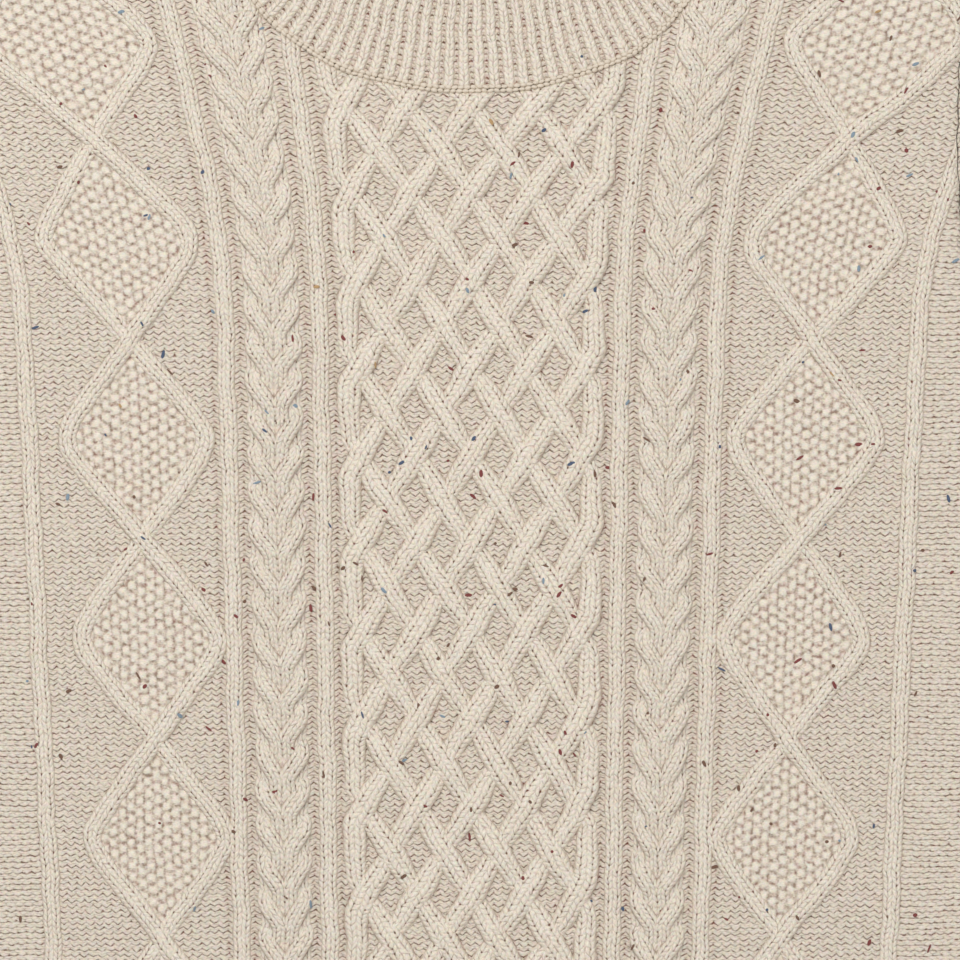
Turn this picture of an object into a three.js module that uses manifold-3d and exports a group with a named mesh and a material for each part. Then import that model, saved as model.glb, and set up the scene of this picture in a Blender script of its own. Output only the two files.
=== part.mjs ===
// Cable knit sweater with a ribbed mock neck, laid flat on its back panel.
// Millimetres. x runs across the chest, y from hem to neck, z up from the surface.
// Heights along the body are counted from the lowest point of the front neck seam.

import * as THREE from 'three';
import Module from 'manifold-3d';
import { mergeVertices } from 'three/addons/utils/BufferGeometryUtils.js';

const wasm = await Module();
wasm.setup();

// Knitted wall and the gap between pieces that lie against each other
const WALL = 2.6;
const SEAM_GAP = 0.3;
const UPPER = WALL + SEAM_GAP;
const GROUND_TOP = UPPER + WALL;

// Knit gauge: the width of one wale, which spreads towards the shoulders
const WALE = { width: 4.25, atHeight: -103, taper: 0.001, spread: 0.0083, spreadFrom: -66, soft: 16 };

// Body panels
const BODY = {
  hemEnd: -555,
  hemTop: -490,
  halfWidth: 250,
  hemHalfEnd: 239,
  hemHalfMid: 243,
  underarm: -170,
  shoulderTip: { x: 225, y: 48 },
  armholeControl: { x: 205, y: -75 },
  hemRibs: 68,
};

// Neck: seam of the collar on the front and on the back
const NECK = { half: 112, frontDrop: 87, frontRoundness: 2.2, backDrop: 20, backRoundness: 2.4 };
const COLLAR = { topHalf: 74, topSide: 126, topFrontCentre: 64, topBackCentre: 117, ribs: 46, ridge: 1.3 };

// Rows of the collar's wall, from its seam to its rim: parts of its height and how far the edges are rounded
const COLLAR_OUTSIDE = [
  { rise: 0, drop: 0.6 },
  { rise: 0.06, drop: 0 },
  { rise: 0.5, drop: 0 },
  { rise: 0.94, drop: 0 },
  { rise: 1, drop: 0.6 },
];
const COLLAR_INSIDE = [1, 0.5, 0];

// Sleeve: the axis points from the shoulder to the cuff, degrees below the x axis
const SLEEVE = {
  axisAngle: 45,
  jointCentre: { x: 582, y: -297 },
  jointHalf: 52.5,
  cuffLength: 65,
  cuffHalfEnd: 45,
  cuffHalfMid: 47,
  cuffRibs: 14,
  wale: 4.16,
  foldWidth: 3,
};

// Bends of the sleeve's folded edges: how far and in which direction each end runs straight on
const OUTER_EDGE = { start: { degrees: -20, reach: 120 }, end: { degrees: -49, reach: 230 } };
const INNER_EDGE = { start: { degrees: -33, reach: 100 }, end: { degrees: -37, reach: 100 } };

// The straight strip at each end of the hem and the cuffs
const BAND_END = 8;

// Relief above the purl ground
const HEIGHT = { rib: 1.9, rope: 3.2, crossing: 4.2, horseshoe: 4.0, outline: 2.7, moss: 0.8, rib1x1: 1.3 };

// Lattice of ropes at the centre front: rows of crossings and places across, in wales
const LATTICE = { half: 14, edgeRope: 13, crossingStep: 3, outerCrossing: 12, period: 39.5, firstRow: -6.75 };
const HORSESHOE = { centre: 21, half: 3.3, ropeAt: 2.7, period: 16.7, firstRow: 1.2, rise: 14 };

// Diamonds between two ropes, in wales; their column drifts inwards away from the chest
const DIAMOND = {
  tip: 29.6,
  centre: 37.1,
  edge: 1,
  period: 89.8,
  firstTip: -67.5,
  steps: 8,
  drift: 0.0054,
  driftReach: 270,
};

// Narrow ribs of two knit wales on each side of the centre, in wales
const RIBS = [
  { from: 15, to: 17 },
  { from: 25, to: 27 },
  { from: 46.4, to: 48.4 },
];
const SLEEVE_RIBS = [
  { from: 4.3, to: 6.3 },
  { from: 8.3, to: 10.3 },
];
const RIB_SHOULDER = 0.45;
const BODY_EDGE_WALE = 68;
const SLEEVE_EDGE_WALE = 38;

// Knitted stretches that the reliefs cover before they are cut to the outlines
const BODY_SPAN = { low: BODY.hemTop - 12, high: 100 };
const SLEEVE_SPAN = { low: -12, high: 530 };
const PLAIN_ROW_STEP = 42;
const BLOCK_FLOOR = -20;
const BLOCK_CEILING = 40;
const JOIN_OVERLAP = 0.5;
const CURVE_STEPS = 14;
const WELD_DISTANCE = 1e-4;

const COLOURS = { body: 0xdcd0bd, sleeve: 0xd8ccb9, collar: 0xd3c6b1 };

const waleAt = (height) =>
  WALE.width +
  WALE.taper * (height - WALE.atHeight) +
  WALE.spread * WALE.soft * Math.log1p(Math.exp((height - WALE.spreadFrom) / WALE.soft));

const bodyPoint = (wales, height) => new THREE.Vector2(wales * waleAt(height), height);

const sleeveTurn = THREE.MathUtils.degToRad(SLEEVE.axisAngle);
const sleeveAcross = new THREE.Vector2(Math.sin(sleeveTurn), Math.cos(sleeveTurn));
const sleeveUp = new THREE.Vector2(-Math.cos(sleeveTurn), Math.sin(sleeveTurn));

const sleeveOffset = (across, up) =>
  new THREE.Vector2(SLEEVE.jointCentre.x, SLEEVE.jointCentre.y)
    .addScaledVector(sleeveAcross, across)
    .addScaledVector(sleeveUp, up);

const sleevePoint = (wales, up) => sleeveOffset(wales * SLEEVE.wale, up);

const evenRows = (low, high, step) => {
  const count = Math.ceil((high - low) / step);
  return Array.from({ length: count + 1 }, (_, row) => low + ((high - low) * row) / count);
};

const stepRows = (span, origin, step) => {
  const first = Math.floor((span.low - origin) / step);
  const last = Math.ceil((span.high - origin) / step);
  return Array.from({ length: last - first + 1 }, (_, row) => first + row);
};

const wrap = (value, size) => ((value % size) + size) % size;

// A zone is a list of columns from low to high wales, each a list of knots going up.
// A knot is { wales, height, relief }.
const ribZone = ({ from, to }, span) => {
  const rows = evenRows(span.low, span.high, PLAIN_ROW_STEP);
  const profile = [
    { wales: from, relief: 0 },
    { wales: from + RIB_SHOULDER, relief: HEIGHT.rib },
    { wales: to - RIB_SHOULDER, relief: HEIGHT.rib },
    { wales: to, relief: 0 },
  ];
  return profile.map(({ wales, relief }) => rows.map((height) => ({ wales, height, relief })));
};

const plainZone = (wales, span) => [
  evenRows(span.low, span.high, PLAIN_ROW_STEP).map((height) => ({ wales, height, relief: 0 })),
];

// Ropes cross at every other place across, and half a period higher at the places between
const latticeRelief = (wales, step) => {
  const phase = wrap(step, 4);
  const reach = Math.abs(wales);
  if (reach >= LATTICE.half) return 0;
  if (reach > LATTICE.outerCrossing) return HEIGHT.rope;
  const place = reach / LATTICE.crossingStep;
  if (Number.isInteger(place)) {
    if (phase === (place % 2 === 0 ? 0 : 2)) return HEIGHT.crossing;
    return reach === LATTICE.outerCrossing ? HEIGHT.rope / 2 : 0;
  }
  return phase % 2 === 1 ? HEIGHT.rope : HEIGHT.rope / 2;
};

const latticeZone = (span) => {
  const rowStep = LATTICE.period / 4;
  const steps = stepRows(span, LATTICE.firstRow, rowStep);
  const half = LATTICE.crossingStep / 2;
  const count = (2 * LATTICE.outerCrossing) / half;
  const inner = Array.from({ length: count + 1 }, (_, i) => i * half - LATTICE.outerCrossing);
  const columns = [-LATTICE.half, -LATTICE.edgeRope, ...inner, LATTICE.edgeRope, LATTICE.half];
  return columns.map((wales) =>
    steps.map((step) => ({
      wales,
      height: LATTICE.firstRow + step * rowStep,
      relief: latticeRelief(wales, step),
    })),
  );
};

// The rows of a horseshoe cable are drawn down at its centre into nested V shapes
const horseshoeZone = (centre, span) => {
  const rowStep = HORSESHOE.period / 2;
  const deep = { low: span.low - HORSESHOE.rise, high: span.high };
  const steps = stepRows(deep, HORSESHOE.firstRow, rowStep);
  const profile = [
    { across: -HORSESHOE.half, ridge: 0, groove: 0 },
    { across: -HORSESHOE.ropeAt, ridge: 1, groove: 0.5 },
    { across: 0, ridge: 0.85, groove: 0.4 },
    { across: HORSESHOE.ropeAt, ridge: 1, groove: 0.5 },
    { across: HORSESHOE.half, ridge: 0, groove: 0 },
  ];
  return profile.map(({ across, ridge, groove }) =>
    steps.map((step) => ({
      wales: centre + across,
      height: HORSESHOE.firstRow + step * rowStep + (HORSESHOE.rise * Math.abs(across)) / HORSESHOE.half,
      relief: HEIGHT.horseshoe * (wrap(step, 2) === 0 ? ridge : groove),
    })),
  );
};

// Two ropes swing apart and together again, with moss stitch between them
const diamondZone = (span) => {
  const rowStep = DIAMOND.period / DIAMOND.steps;
  const columnStep = (2 * (DIAMOND.centre - DIAMOND.tip)) / DIAMOND.steps;
  const steps = stepRows(span, DIAMOND.firstTip, rowStep);
  const relief = (column, step) => {
    const phase = wrap(step, DIAMOND.steps);
    const rope = Math.min(phase, DIAMOND.steps - phase);
    if (column === rope || column === DIAMOND.steps - rope) return HEIGHT.outline;
    return column > rope && column < DIAMOND.steps - rope ? HEIGHT.moss : 0;
  };
  const columns = Array.from({ length: DIAMOND.steps + 1 }, (_, column) => column);
  const drift = (height) => DIAMOND.drift * Math.min(DIAMOND.driftReach, Math.abs(height - DIAMOND.firstTip));
  const knots = (wales, column) =>
    steps.map((step) => {
      const height = DIAMOND.firstTip + step * rowStep;
      return { wales: wales - drift(height), height, relief: relief(column, step) };
    });
  const far = 2 * DIAMOND.centre - DIAMOND.tip;
  return [
    knots(DIAMOND.tip - DIAMOND.edge, -1),
    ...columns.map((column) => knots(DIAMOND.tip + column * columnStep, column)),
    knots(far + DIAMOND.edge, DIAMOND.steps + 1),
  ];
};

const mirrorZone = (zone) =>
  zone.map((column) => column.map((knot) => ({ ...knot, wales: -knot.wales }))).reverse();

const mirroredPair = (zones) => ({ left: zones.map(mirrorZone).reverse(), right: zones });

// A closed block with the relief of its zones on top, cut to its outline afterwards
class ReliefBlock {
  constructor(place, groundTop) {
    this.place = place;
    this.groundTop = groundTop;
    this.points = [];
    this.faces = [];
  }

  addKnot({ wales, height, relief }) {
    const point = this.place(wales, height);
    this.points.push([point.x, point.y, this.groundTop + relief]);
    return this.points.length - 1;
  }

  // Each square is split along the diagonal that lies higher, so that ropes stay whole
  addSquare(a, b, c, d) {
    const z = (id) => this.points[id][2];
    if (z(a) + z(c) >= z(b) + z(d)) this.faces.push([a, b, c], [a, c, d]);
    else this.faces.push([a, b, d], [b, c, d]);
  }

  addZone(zone) {
    const columns = zone.map((column) => column.map((knot) => this.addKnot(knot)));
    for (let i = 0; i + 1 < columns.length; i += 1) {
      for (let j = 0; j + 1 < columns[i].length; j += 1) {
        this.addSquare(columns[i][j], columns[i + 1][j], columns[i + 1][j + 1], columns[i][j + 1]);
      }
    }
    return columns;
  }

  // Two neighbouring columns with different rows are joined like a zip
  zip(left, right, heightOf) {
    let i = 0;
    let j = 0;
    while (i + 1 < left.length || j + 1 < right.length) {
      const leftNext = i + 1 < left.length ? heightOf(left[i + 1]) : Infinity;
      const rightNext = j + 1 < right.length ? heightOf(right[j + 1]) : Infinity;
      if (leftNext <= rightNext) {
        this.faces.push([left[i], right[j], left[i + 1]]);
        i += 1;
      } else {
        this.faces.push([left[i], right[j], right[j + 1]]);
        j += 1;
      }
    }
  }

  addZones(zones) {
    const heights = [];
    const built = zones.map((zone) => {
      const columns = this.addZone(zone);
      columns.forEach((ids, i) => ids.forEach((id, j) => (heights[id] = zone[i][j].height)));
      return columns;
    });
    for (let k = 0; k + 1 < built.length; k += 1) {
      this.zip(built[k].at(-1), built[k + 1][0], (id) => heights[id]);
    }
    const all = built.flat();
    this.rim = [
      ...all.map((column) => column[0]),
      ...all.at(-1).slice(1, -1),
      ...all.map((column) => column.at(-1)).reverse(),
      ...all[0].slice(1, -1).reverse(),
    ];
    return this;
  }

  toGeometry() {
    const count = this.points.length;
    const floor = this.points.map(([x, y]) => [x, y, BLOCK_FLOOR]);
    const under = this.faces.map(([a, b, c]) => [a + count, c + count, b + count]);
    const sides = this.rim.flatMap((a, k) => {
      const b = this.rim[(k + 1) % this.rim.length];
      return [
        [a, a + count, b],
        [b, a + count, b + count],
      ];
    });
    return indexedGeometry([...this.points, ...floor], [...this.faces, ...under, ...sides]);
  }
}

function indexedGeometry(points, faces) {
  const geometry = new THREE.BufferGeometry();
  geometry.setAttribute('position', new THREE.Float32BufferAttribute(points.flat(), 3));
  geometry.setIndex(faces.flat());
  return geometry;
}

function toSolid(geometry) {
  const bare = geometry.clone();
  bare.deleteAttribute('normal');
  bare.deleteAttribute('uv');
  const merged = mergeVertices(bare, WELD_DISTANCE);
  const mesh = new wasm.Mesh({
    numProp: 3,
    vertProperties: new Float32Array(merged.attributes.position.array),
    triVerts: new Uint32Array(merged.index.array),
  });
  return new wasm.Manifold(mesh);
}

function fromSolid(solid) {
  const mesh = solid.getMesh();
  const geometry = new THREE.BufferGeometry();
  geometry.setAttribute('position', new THREE.BufferAttribute(new Float32Array(mesh.vertProperties), 3));
  geometry.setIndex(new THREE.BufferAttribute(new Uint32Array(mesh.triVerts), 1));
  return geometry;
}

// A flat prism between two heights on a plan outline
function prism(outline, low, high) {
  const geometry = new THREE.ExtrudeGeometry(new THREE.Shape(outline), {
    depth: high - low,
    bevelEnabled: false,
  });
  return geometry.translate(0, 0, low);
}

// A superellipse that falls from a side point to its centre
const dipAt = (x, half, drop, roundness) =>
  drop * (1 - (1 - Math.min(1, Math.abs(x / half)) ** roundness) ** (1 / roundness));

const frontSeamHeight = (x) => dipAt(x, NECK.half, NECK.frontDrop, NECK.frontRoundness);
const backSeamHeight = (x) =>
  NECK.frontDrop - NECK.backDrop * (1 - Math.abs(x / NECK.half) ** NECK.backRoundness);
const frontTopHeight = (x) =>
  COLLAR.topFrontCentre + dipAt(x, COLLAR.topHalf, COLLAR.topSide - COLLAR.topFrontCentre, 2);
const backTopHeight = (x) =>
  COLLAR.topSide - (COLLAR.topSide - COLLAR.topBackCentre) * (1 - (x / COLLAR.topHalf) ** 2);

// The right half of a neck curve, from the centre to its side point
const halfCurve = (half, heightAt, steps) =>
  Array.from({ length: steps + 1 }, (_, i) => {
    const x = half * Math.sin((Math.PI / 2) * (i / steps));
    return new THREE.Vector2(x, heightAt(x));
  });

const bezier = (points, steps) => {
  const curve =
    points.length === 3 ? new THREE.QuadraticBezierCurve(...points) : new THREE.CubicBezierCurve(...points);
  return curve.getPoints(steps);
};

const mirrorOutline = (points) => points.map((p) => new THREE.Vector2(-p.x, p.y)).reverse();

const shoulderTip = new THREE.Vector2(BODY.shoulderTip.x, BODY.shoulderTip.y);
const underarm = new THREE.Vector2(BODY.halfWidth, BODY.underarm);
const armhole = bezier(
  [shoulderTip, new THREE.Vector2(BODY.armholeControl.x, BODY.armholeControl.y), underarm],
  CURVE_STEPS,
);

// The right half of a panel above its hem, from the neck round to the side seam
function panelHalf(seamHeight) {
  const clear = NECK.half + SEAM_GAP;
  const neck = halfCurve(clear, (x) => seamHeight((x * NECK.half) / clear) - SEAM_GAP, 2 * CURVE_STEPS);
  return [...neck, ...armhole];
}

function bodyOutline(seamHeight) {
  const half = panelHalf(seamHeight);
  const low = new THREE.Vector2(BODY.halfWidth, BODY.hemTop);
  const right = [...half.slice(1), low];
  return [half[0], ...right, ...mirrorOutline(right)];
}

const hemHalfAt = [
  { height: BODY.hemEnd, half: BODY.hemHalfEnd },
  { height: BODY.hemEnd + BAND_END, half: BODY.hemHalfEnd },
  { height: BODY.hemTop - BAND_END, half: BODY.hemHalfMid },
  { height: BODY.hemTop + JOIN_OVERLAP, half: BODY.halfWidth },
];
const cuffHalfAt = [
  { height: -SLEEVE.cuffLength, half: SLEEVE.cuffHalfEnd },
  { height: -SLEEVE.cuffLength + BAND_END, half: SLEEVE.cuffHalfEnd },
  { height: -BAND_END, half: SLEEVE.cuffHalfMid },
  { height: JOIN_OVERLAP, half: SLEEVE.jointHalf },
];

const bandOutline = (table, place) => [
  ...table.map(({ height, half }) => place(-half, height)),
  ...table.map(({ height, half }) => place(half, height)).reverse(),
];

// A band of one-by-one rib: a ridge on every second column
function ribBand(table, ribs, place) {
  const columns = Array.from({ length: 2 * ribs + 1 }, (_, i) =>
    table.map(({ height, half }) => ({
      wales: (i / ribs - 1) * half,
      height,
      relief: i % 2 === 1 ? HEIGHT.rib1x1 : 0,
    })),
  );
  return toSolid(new ReliefBlock(place, GROUND_TOP).addZones([columns]).toGeometry());
}

const flat = (x, y) => new THREE.Vector2(x, y);
const upperPrism = (outline) => toSolid(prism(outline, UPPER, BLOCK_CEILING));

function frontPanel() {
  const sides = mirroredPair([
    ribZone(RIBS[0], BODY_SPAN),
    horseshoeZone(HORSESHOE.centre, BODY_SPAN),
    ribZone(RIBS[1], BODY_SPAN),
    diamondZone(BODY_SPAN),
    ribZone(RIBS[2], BODY_SPAN),
    plainZone(BODY_EDGE_WALE, BODY_SPAN),
  ]);
  const zones = [...sides.left, latticeZone(BODY_SPAN), ...sides.right];
  const relief = toSolid(new ReliefBlock(bodyPoint, GROUND_TOP).addZones(zones).toGeometry());
  const body = relief.intersect(upperPrism(bodyOutline(frontSeamHeight)));
  const hem = ribBand(hemHalfAt, BODY.hemRibs, flat).intersect(upperPrism(bandOutline(hemHalfAt, flat)));
  return fromSolid(body.add(hem));
}

function backPanel() {
  const body = toSolid(prism(bodyOutline(backSeamHeight), 0, WALL));
  const hem = toSolid(prism(bandOutline(hemHalfAt, flat), 0, WALL));
  return fromSolid(body.add(hem));
}

const direction = (degrees) => {
  const turn = THREE.MathUtils.degToRad(degrees);
  return new THREE.Vector2(Math.cos(turn), Math.sin(turn));
};

// The right sleeve's two folded edges, from the armhole to the cuff joint
const cuffOuter = sleeveOffset(SLEEVE.jointHalf, 0);
const cuffInner = sleeveOffset(-SLEEVE.jointHalf, 0);
const sleeveStart = shoulderTip.clone().add(new THREE.Vector2(SEAM_GAP, -SEAM_GAP / 2));
const sleevePit = underarm.clone().add(new THREE.Vector2(SEAM_GAP, -SEAM_GAP));

const foldedEdge = (from, to, { start, end }) =>
  bezier(
    [
      from,
      from.clone().addScaledVector(direction(start.degrees), start.reach),
      to.clone().addScaledVector(direction(end.degrees), -end.reach),
      to,
    ],
    CURVE_STEPS,
  );

const outerEdge = foldedEdge(sleeveStart, cuffOuter, OUTER_EDGE);
const innerEdge = foldedEdge(sleevePit, cuffInner, INNER_EDGE);

function sleeveOutline() {
  const inset = armhole.slice(1, -1).map((p) => new THREE.Vector2(p.x + SEAM_GAP, p.y));
  return [...outerEdge, ...[...innerEdge].reverse(), ...inset.reverse()];
}

// A narrow strip along a folded edge, which joins the upper and the lower wall
function foldBand(edge, inward) {
  const inner = edge.map((point, i) => {
    const along = edge[Math.min(i + 1, edge.length - 1)].clone().sub(edge[Math.max(i - 1, 0)]);
    const normal = new THREE.Vector2(along.y, -along.x).normalize().multiplyScalar(inward);
    return point.clone().add(normal);
  });
  const low = WALL / 2;
  return toSolid(prism([...edge, ...inner.reverse()], low, UPPER + low));
}

function rightSleeve() {
  const sides = mirroredPair([
    ribZone(SLEEVE_RIBS[0], SLEEVE_SPAN),
    ribZone(SLEEVE_RIBS[1], SLEEVE_SPAN),
    plainZone(SLEEVE_EDGE_WALE, SLEEVE_SPAN),
  ]);
  const zones = [...sides.left, horseshoeZone(0, SLEEVE_SPAN), ...sides.right];
  const relief = toSolid(new ReliefBlock(sleevePoint, GROUND_TOP).addZones(zones).toGeometry());
  const arm = relief.intersect(upperPrism(sleeveOutline()));
  const cuffOutline = bandOutline(cuffHalfAt, sleeveOffset);
  const cuff = ribBand(cuffHalfAt, SLEEVE.cuffRibs, sleeveOffset).intersect(upperPrism(cuffOutline));
  const cuffSide = (sign) => cuffHalfAt.map(({ height, half }) => sleeveOffset(sign * half, height)).reverse();
  const lower = toSolid(prism(sleeveOutline(), 0, WALL)).add(toSolid(prism(cuffOutline, 0, WALL)));
  const armFolds = foldBand(outerEdge, SLEEVE.foldWidth)
    .add(foldBand(innerEdge, -SLEEVE.foldWidth))
    .intersect(toSolid(prism(sleeveOutline(), 0, BLOCK_CEILING)));
  const cuffFolds = foldBand(cuffSide(1), SLEEVE.foldWidth).add(foldBand(cuffSide(-1), -SLEEVE.foldWidth));
  return arm.add(cuff).add(lower).add(armFolds).add(cuffFolds);
}

function mirrorGeometry(geometry) {
  const mirrored = geometry.clone();
  mirrored.scale(-1, 1, 1);
  const index = mirrored.index.array;
  for (let i = 0; i < index.length; i += 3) [index[i + 1], index[i + 2]] = [index[i + 2], index[i + 1]];
  return mirrored;
}

// Points at even lengths along a neck curve, from the left fold to the right fold
function evenCurve(half, heightAt, count) {
  const right = halfCurve(half, heightAt, 8 * CURVE_STEPS);
  const dense = [...mirrorOutline(right.slice(1)), ...right];
  const lengths = [0];
  for (let i = 1; i < dense.length; i += 1) {
    lengths.push(lengths[i - 1] + dense[i].distanceTo(dense[i - 1]));
  }
  return Array.from({ length: count }, (_, k) => {
    const target = (lengths.at(-1) * k) / (count - 1);
    const i = Math.max(1, lengths.findIndex((length) => length >= target - 1e-9));
    const part = (target - lengths[i - 1]) / (lengths[i] - lengths[i - 1]);
    return dense[i - 1].clone().lerp(dense[i], part);
  });
}

// The collar is one ribbed tube, pressed flat: its front half lies on the back panel
function collar() {
  const frontCount = 2 * COLLAR.ribs + 1;
  const backCount = COLLAR.ribs / 2 + 1;
  const frontSeam = evenCurve(NECK.half, frontSeamHeight, frontCount);
  const frontTop = evenCurve(COLLAR.topHalf, frontTopHeight, frontCount);
  const backSeam = evenCurve(NECK.half, backSeamHeight, backCount).reverse();
  const backTop = evenCurve(COLLAR.topHalf, backTopHeight, backCount).reverse();
  const seam = [...frontSeam, ...backSeam.slice(1, -1)];
  const top = [...frontTop, ...backTop.slice(1, -1)];
  const around = seam.length;
  const middle = (UPPER + WALL) / 2;

  const isFold = (i) => i === 0 || i === frontCount - 1;
  const outerHeight = (i) => {
    if (isFold(i)) return middle;
    if (i >= frontCount) return 0;
    return GROUND_TOP + (i % 2 === 0 ? COLLAR.ridge : 0);
  };
  const innerHeight = (i) => {
    if (isFold(i)) return middle;
    return i >= frontCount ? WALL : UPPER;
  };
  const ring = (rise) => seam.map((point, i) => point.clone().lerp(top[i], rise));
  const inset = (points) =>
    points.map((point, i) => {
      if (!isFold(i)) return point;
      const onBack = points[wrap(i === 0 ? -1 : i + 1, around)];
      return point.clone().addScaledVector(onBack.clone().sub(point).normalize(), WALL);
    });

  const rings = [
    ...COLLAR_OUTSIDE.map(({ rise, drop }) =>
      ring(rise).map((p, i) => {
        const z = outerHeight(i);
        return [p.x, p.y, z > UPPER ? z - drop : z];
      }),
    ),
    ...COLLAR_INSIDE.map((rise) => inset(ring(rise)).map((p, i) => [p.x, p.y, innerHeight(i)])),
  ];
  const faces = [];
  rings.forEach((_, r) => {
    const next = (r + 1) % rings.length;
    for (let i = 0; i < around; i += 1) {
      const j = (i + 1) % around;
      const [a, b, c, d] = [r * around + i, r * around + j, next * around + j, next * around + i];
      faces.push([a, b, c], [a, c, d]);
    }
  });
  return indexedGeometry(rings.flat(), faces);
}

const knitMaterial = (colour) => new THREE.MeshStandardMaterial({ color: colour, roughness: 0.95, metalness: 0 });

function piece(name, geometry, colour) {
  const mesh = new THREE.Mesh(geometry, knitMaterial(colour));
  mesh.name = name;
  return mesh;
}

const sleeve = fromSolid(rightSleeve());
const sweater = new THREE.Group();
sweater.add(
  piece('front', frontPanel(), COLOURS.body),
  piece('back', backPanel(), COLOURS.body),
  piece('sleeve_right', sleeve, COLOURS.sleeve),
  piece('sleeve_left', mirrorGeometry(sleeve), COLOURS.sleeve),
  piece('collar', collar(), COLOURS.collar),
);

// The origin lies under the middle of the garment's length
sweater.position.y = -(BODY.hemEnd + COLLAR.topSide) / 2;

export default sweater;
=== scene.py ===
"""A cable knit sweater with a ribbed mock neck, laid flat and seen from straight above.

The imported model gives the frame. Each knitted piece is dressed with a purl ground, and with ropes, ribs
and cables whose rows of stitches are real relief. Sizes in the classes are millimetres, and heights are
counted from the lowest point of the front neck seam. Meshes are written in metres.
"""

import logging
import math
from dataclasses import dataclass, field
from enum import Enum
from typing import Callable, Iterator, Sequence

import bmesh
import bpy
import numpy as np
from bpy.types import ID, Material, Mesh, Node, NodeSocket, NodeTree, Object
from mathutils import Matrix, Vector


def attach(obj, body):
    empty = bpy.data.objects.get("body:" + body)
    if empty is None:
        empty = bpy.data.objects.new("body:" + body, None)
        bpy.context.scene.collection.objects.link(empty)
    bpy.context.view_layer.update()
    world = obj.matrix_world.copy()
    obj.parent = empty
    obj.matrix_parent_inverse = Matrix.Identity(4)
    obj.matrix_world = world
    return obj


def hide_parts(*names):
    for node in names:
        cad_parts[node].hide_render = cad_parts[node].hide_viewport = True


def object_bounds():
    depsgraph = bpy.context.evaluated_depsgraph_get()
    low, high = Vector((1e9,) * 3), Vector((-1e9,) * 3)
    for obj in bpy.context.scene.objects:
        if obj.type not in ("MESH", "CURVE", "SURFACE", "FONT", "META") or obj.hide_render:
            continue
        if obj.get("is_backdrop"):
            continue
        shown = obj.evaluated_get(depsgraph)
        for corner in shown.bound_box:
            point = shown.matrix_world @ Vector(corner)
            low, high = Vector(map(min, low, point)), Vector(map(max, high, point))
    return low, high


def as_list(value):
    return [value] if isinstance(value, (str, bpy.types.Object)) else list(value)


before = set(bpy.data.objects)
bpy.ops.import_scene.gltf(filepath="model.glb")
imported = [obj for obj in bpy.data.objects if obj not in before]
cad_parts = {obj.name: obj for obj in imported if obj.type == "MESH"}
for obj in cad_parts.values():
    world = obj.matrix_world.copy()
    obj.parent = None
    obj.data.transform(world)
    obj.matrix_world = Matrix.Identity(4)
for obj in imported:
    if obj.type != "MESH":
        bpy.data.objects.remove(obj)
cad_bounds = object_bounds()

MM = 0.001
log = logging.getLogger("sweater")

Array = np.ndarray
Triple = tuple[float, float, float]
# Gives x and height for a part across and a part along
Placing = Callable[[Array, Array], tuple[Array, Array]]


# Shared sizes of the garment, as in the solids


@dataclass(frozen=True)
class Wall:
    """Levels of the knitted walls above the surface."""

    thick: float = 2.6
    gap: float = 0.3

    @property
    def upper(self) -> float:
        """Level where the upper layer starts."""
        return self.thick + self.gap

    @property
    def ground(self) -> float:
        """Level of the purl ground on the upper layer."""
        return self.upper + self.thick


@dataclass(frozen=True)
class Gauge:
    """Size of the stitches, and how the wales spread towards the shoulders."""

    wale: float = 4.25
    wale_height: float = -103.0
    taper: float = 0.001
    spread: float = 0.0083
    spread_from: float = -66.0
    soft: float = 16.0
    knit_row: float = 2.8
    purl_row: float = 2.5
    moss_row: float = 2.7
    sleeve_wale: float = 4.16

    def wale_at(self, height: Array) -> Array:
        """Width of one wale at a height on the body.

        Args:
            height: Heights above the neck's low point.

        Returns:
            The width in millimetres at each height.
        """
        swell = np.log1p(np.exp((height - self.spread_from) / self.soft))
        return self.wale + self.taper * (height - self.wale_height) + self.spread * self.soft * swell


@dataclass(frozen=True)
class Cut:
    """Cutting sizes of the body, the neck, the collar and the sleeves."""

    hem_end: float = -555.0
    hem_top: float = -490.0
    half_width: float = 250.0
    hem_half_end: float = 239.0
    hem_half_mid: float = 243.0
    underarm: float = -170.0
    shoulder_x: float = 225.0
    shoulder_y: float = 48.0
    armhole_x: float = 205.0
    armhole_y: float = -75.0
    neck_half: float = 112.0
    neck_front_drop: float = 87.0
    neck_front_round: float = 2.2
    neck_back_drop: float = 20.0
    neck_back_round: float = 2.4
    collar_top_half: float = 74.0
    collar_side: float = 126.0
    collar_front: float = 64.0
    collar_back: float = 117.0
    joint_x: float = 582.0
    joint_y: float = -297.0
    joint_half: float = 52.5
    # Handles of the sleeve's folded edges: length and heading at the armhole, then at the cuff
    outer_handles: tuple[float, ...] = (120.0, -20.0, 230.0, -49.0)
    inner_handles: tuple[float, ...] = (100.0, -33.0, 100.0, -37.0)
    sleeve_angle: float = 45.0
    sleeve_half_width: float = 100.0
    sleeve_length: float = 585.0
    cuff_length: float = 65.0
    cuff_half_end: float = 45.0
    cuff_half_mid: float = 47.0

    @property
    def middle(self) -> float:
        """Height that lies at the row frame's origin."""
        return (self.hem_end + self.collar_side) / 2


WALL = Wall()
GAUGE = Gauge()
CUT = Cut()

# Steps along an edge of the sleeve, the armhole and half the neck
SLEEVE_STEPS = 24
ARMHOLE_STEPS = 14
NECK_STEPS = 28
# How far the foot of a knit V lies below its tips
CHEVRON = 2.0
# Points less deep than this within an outline carry no faces of their own
LEAST_DEPTH = 0.05
# How far a hem or cuff rib runs under the panel above it, the length over which the rib changes its
# width there, and the points on each of its edges
JOINT_OVERLAP = 0.5
RIB_EASE = 8.0
EDGE_POINTS = 9
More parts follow.
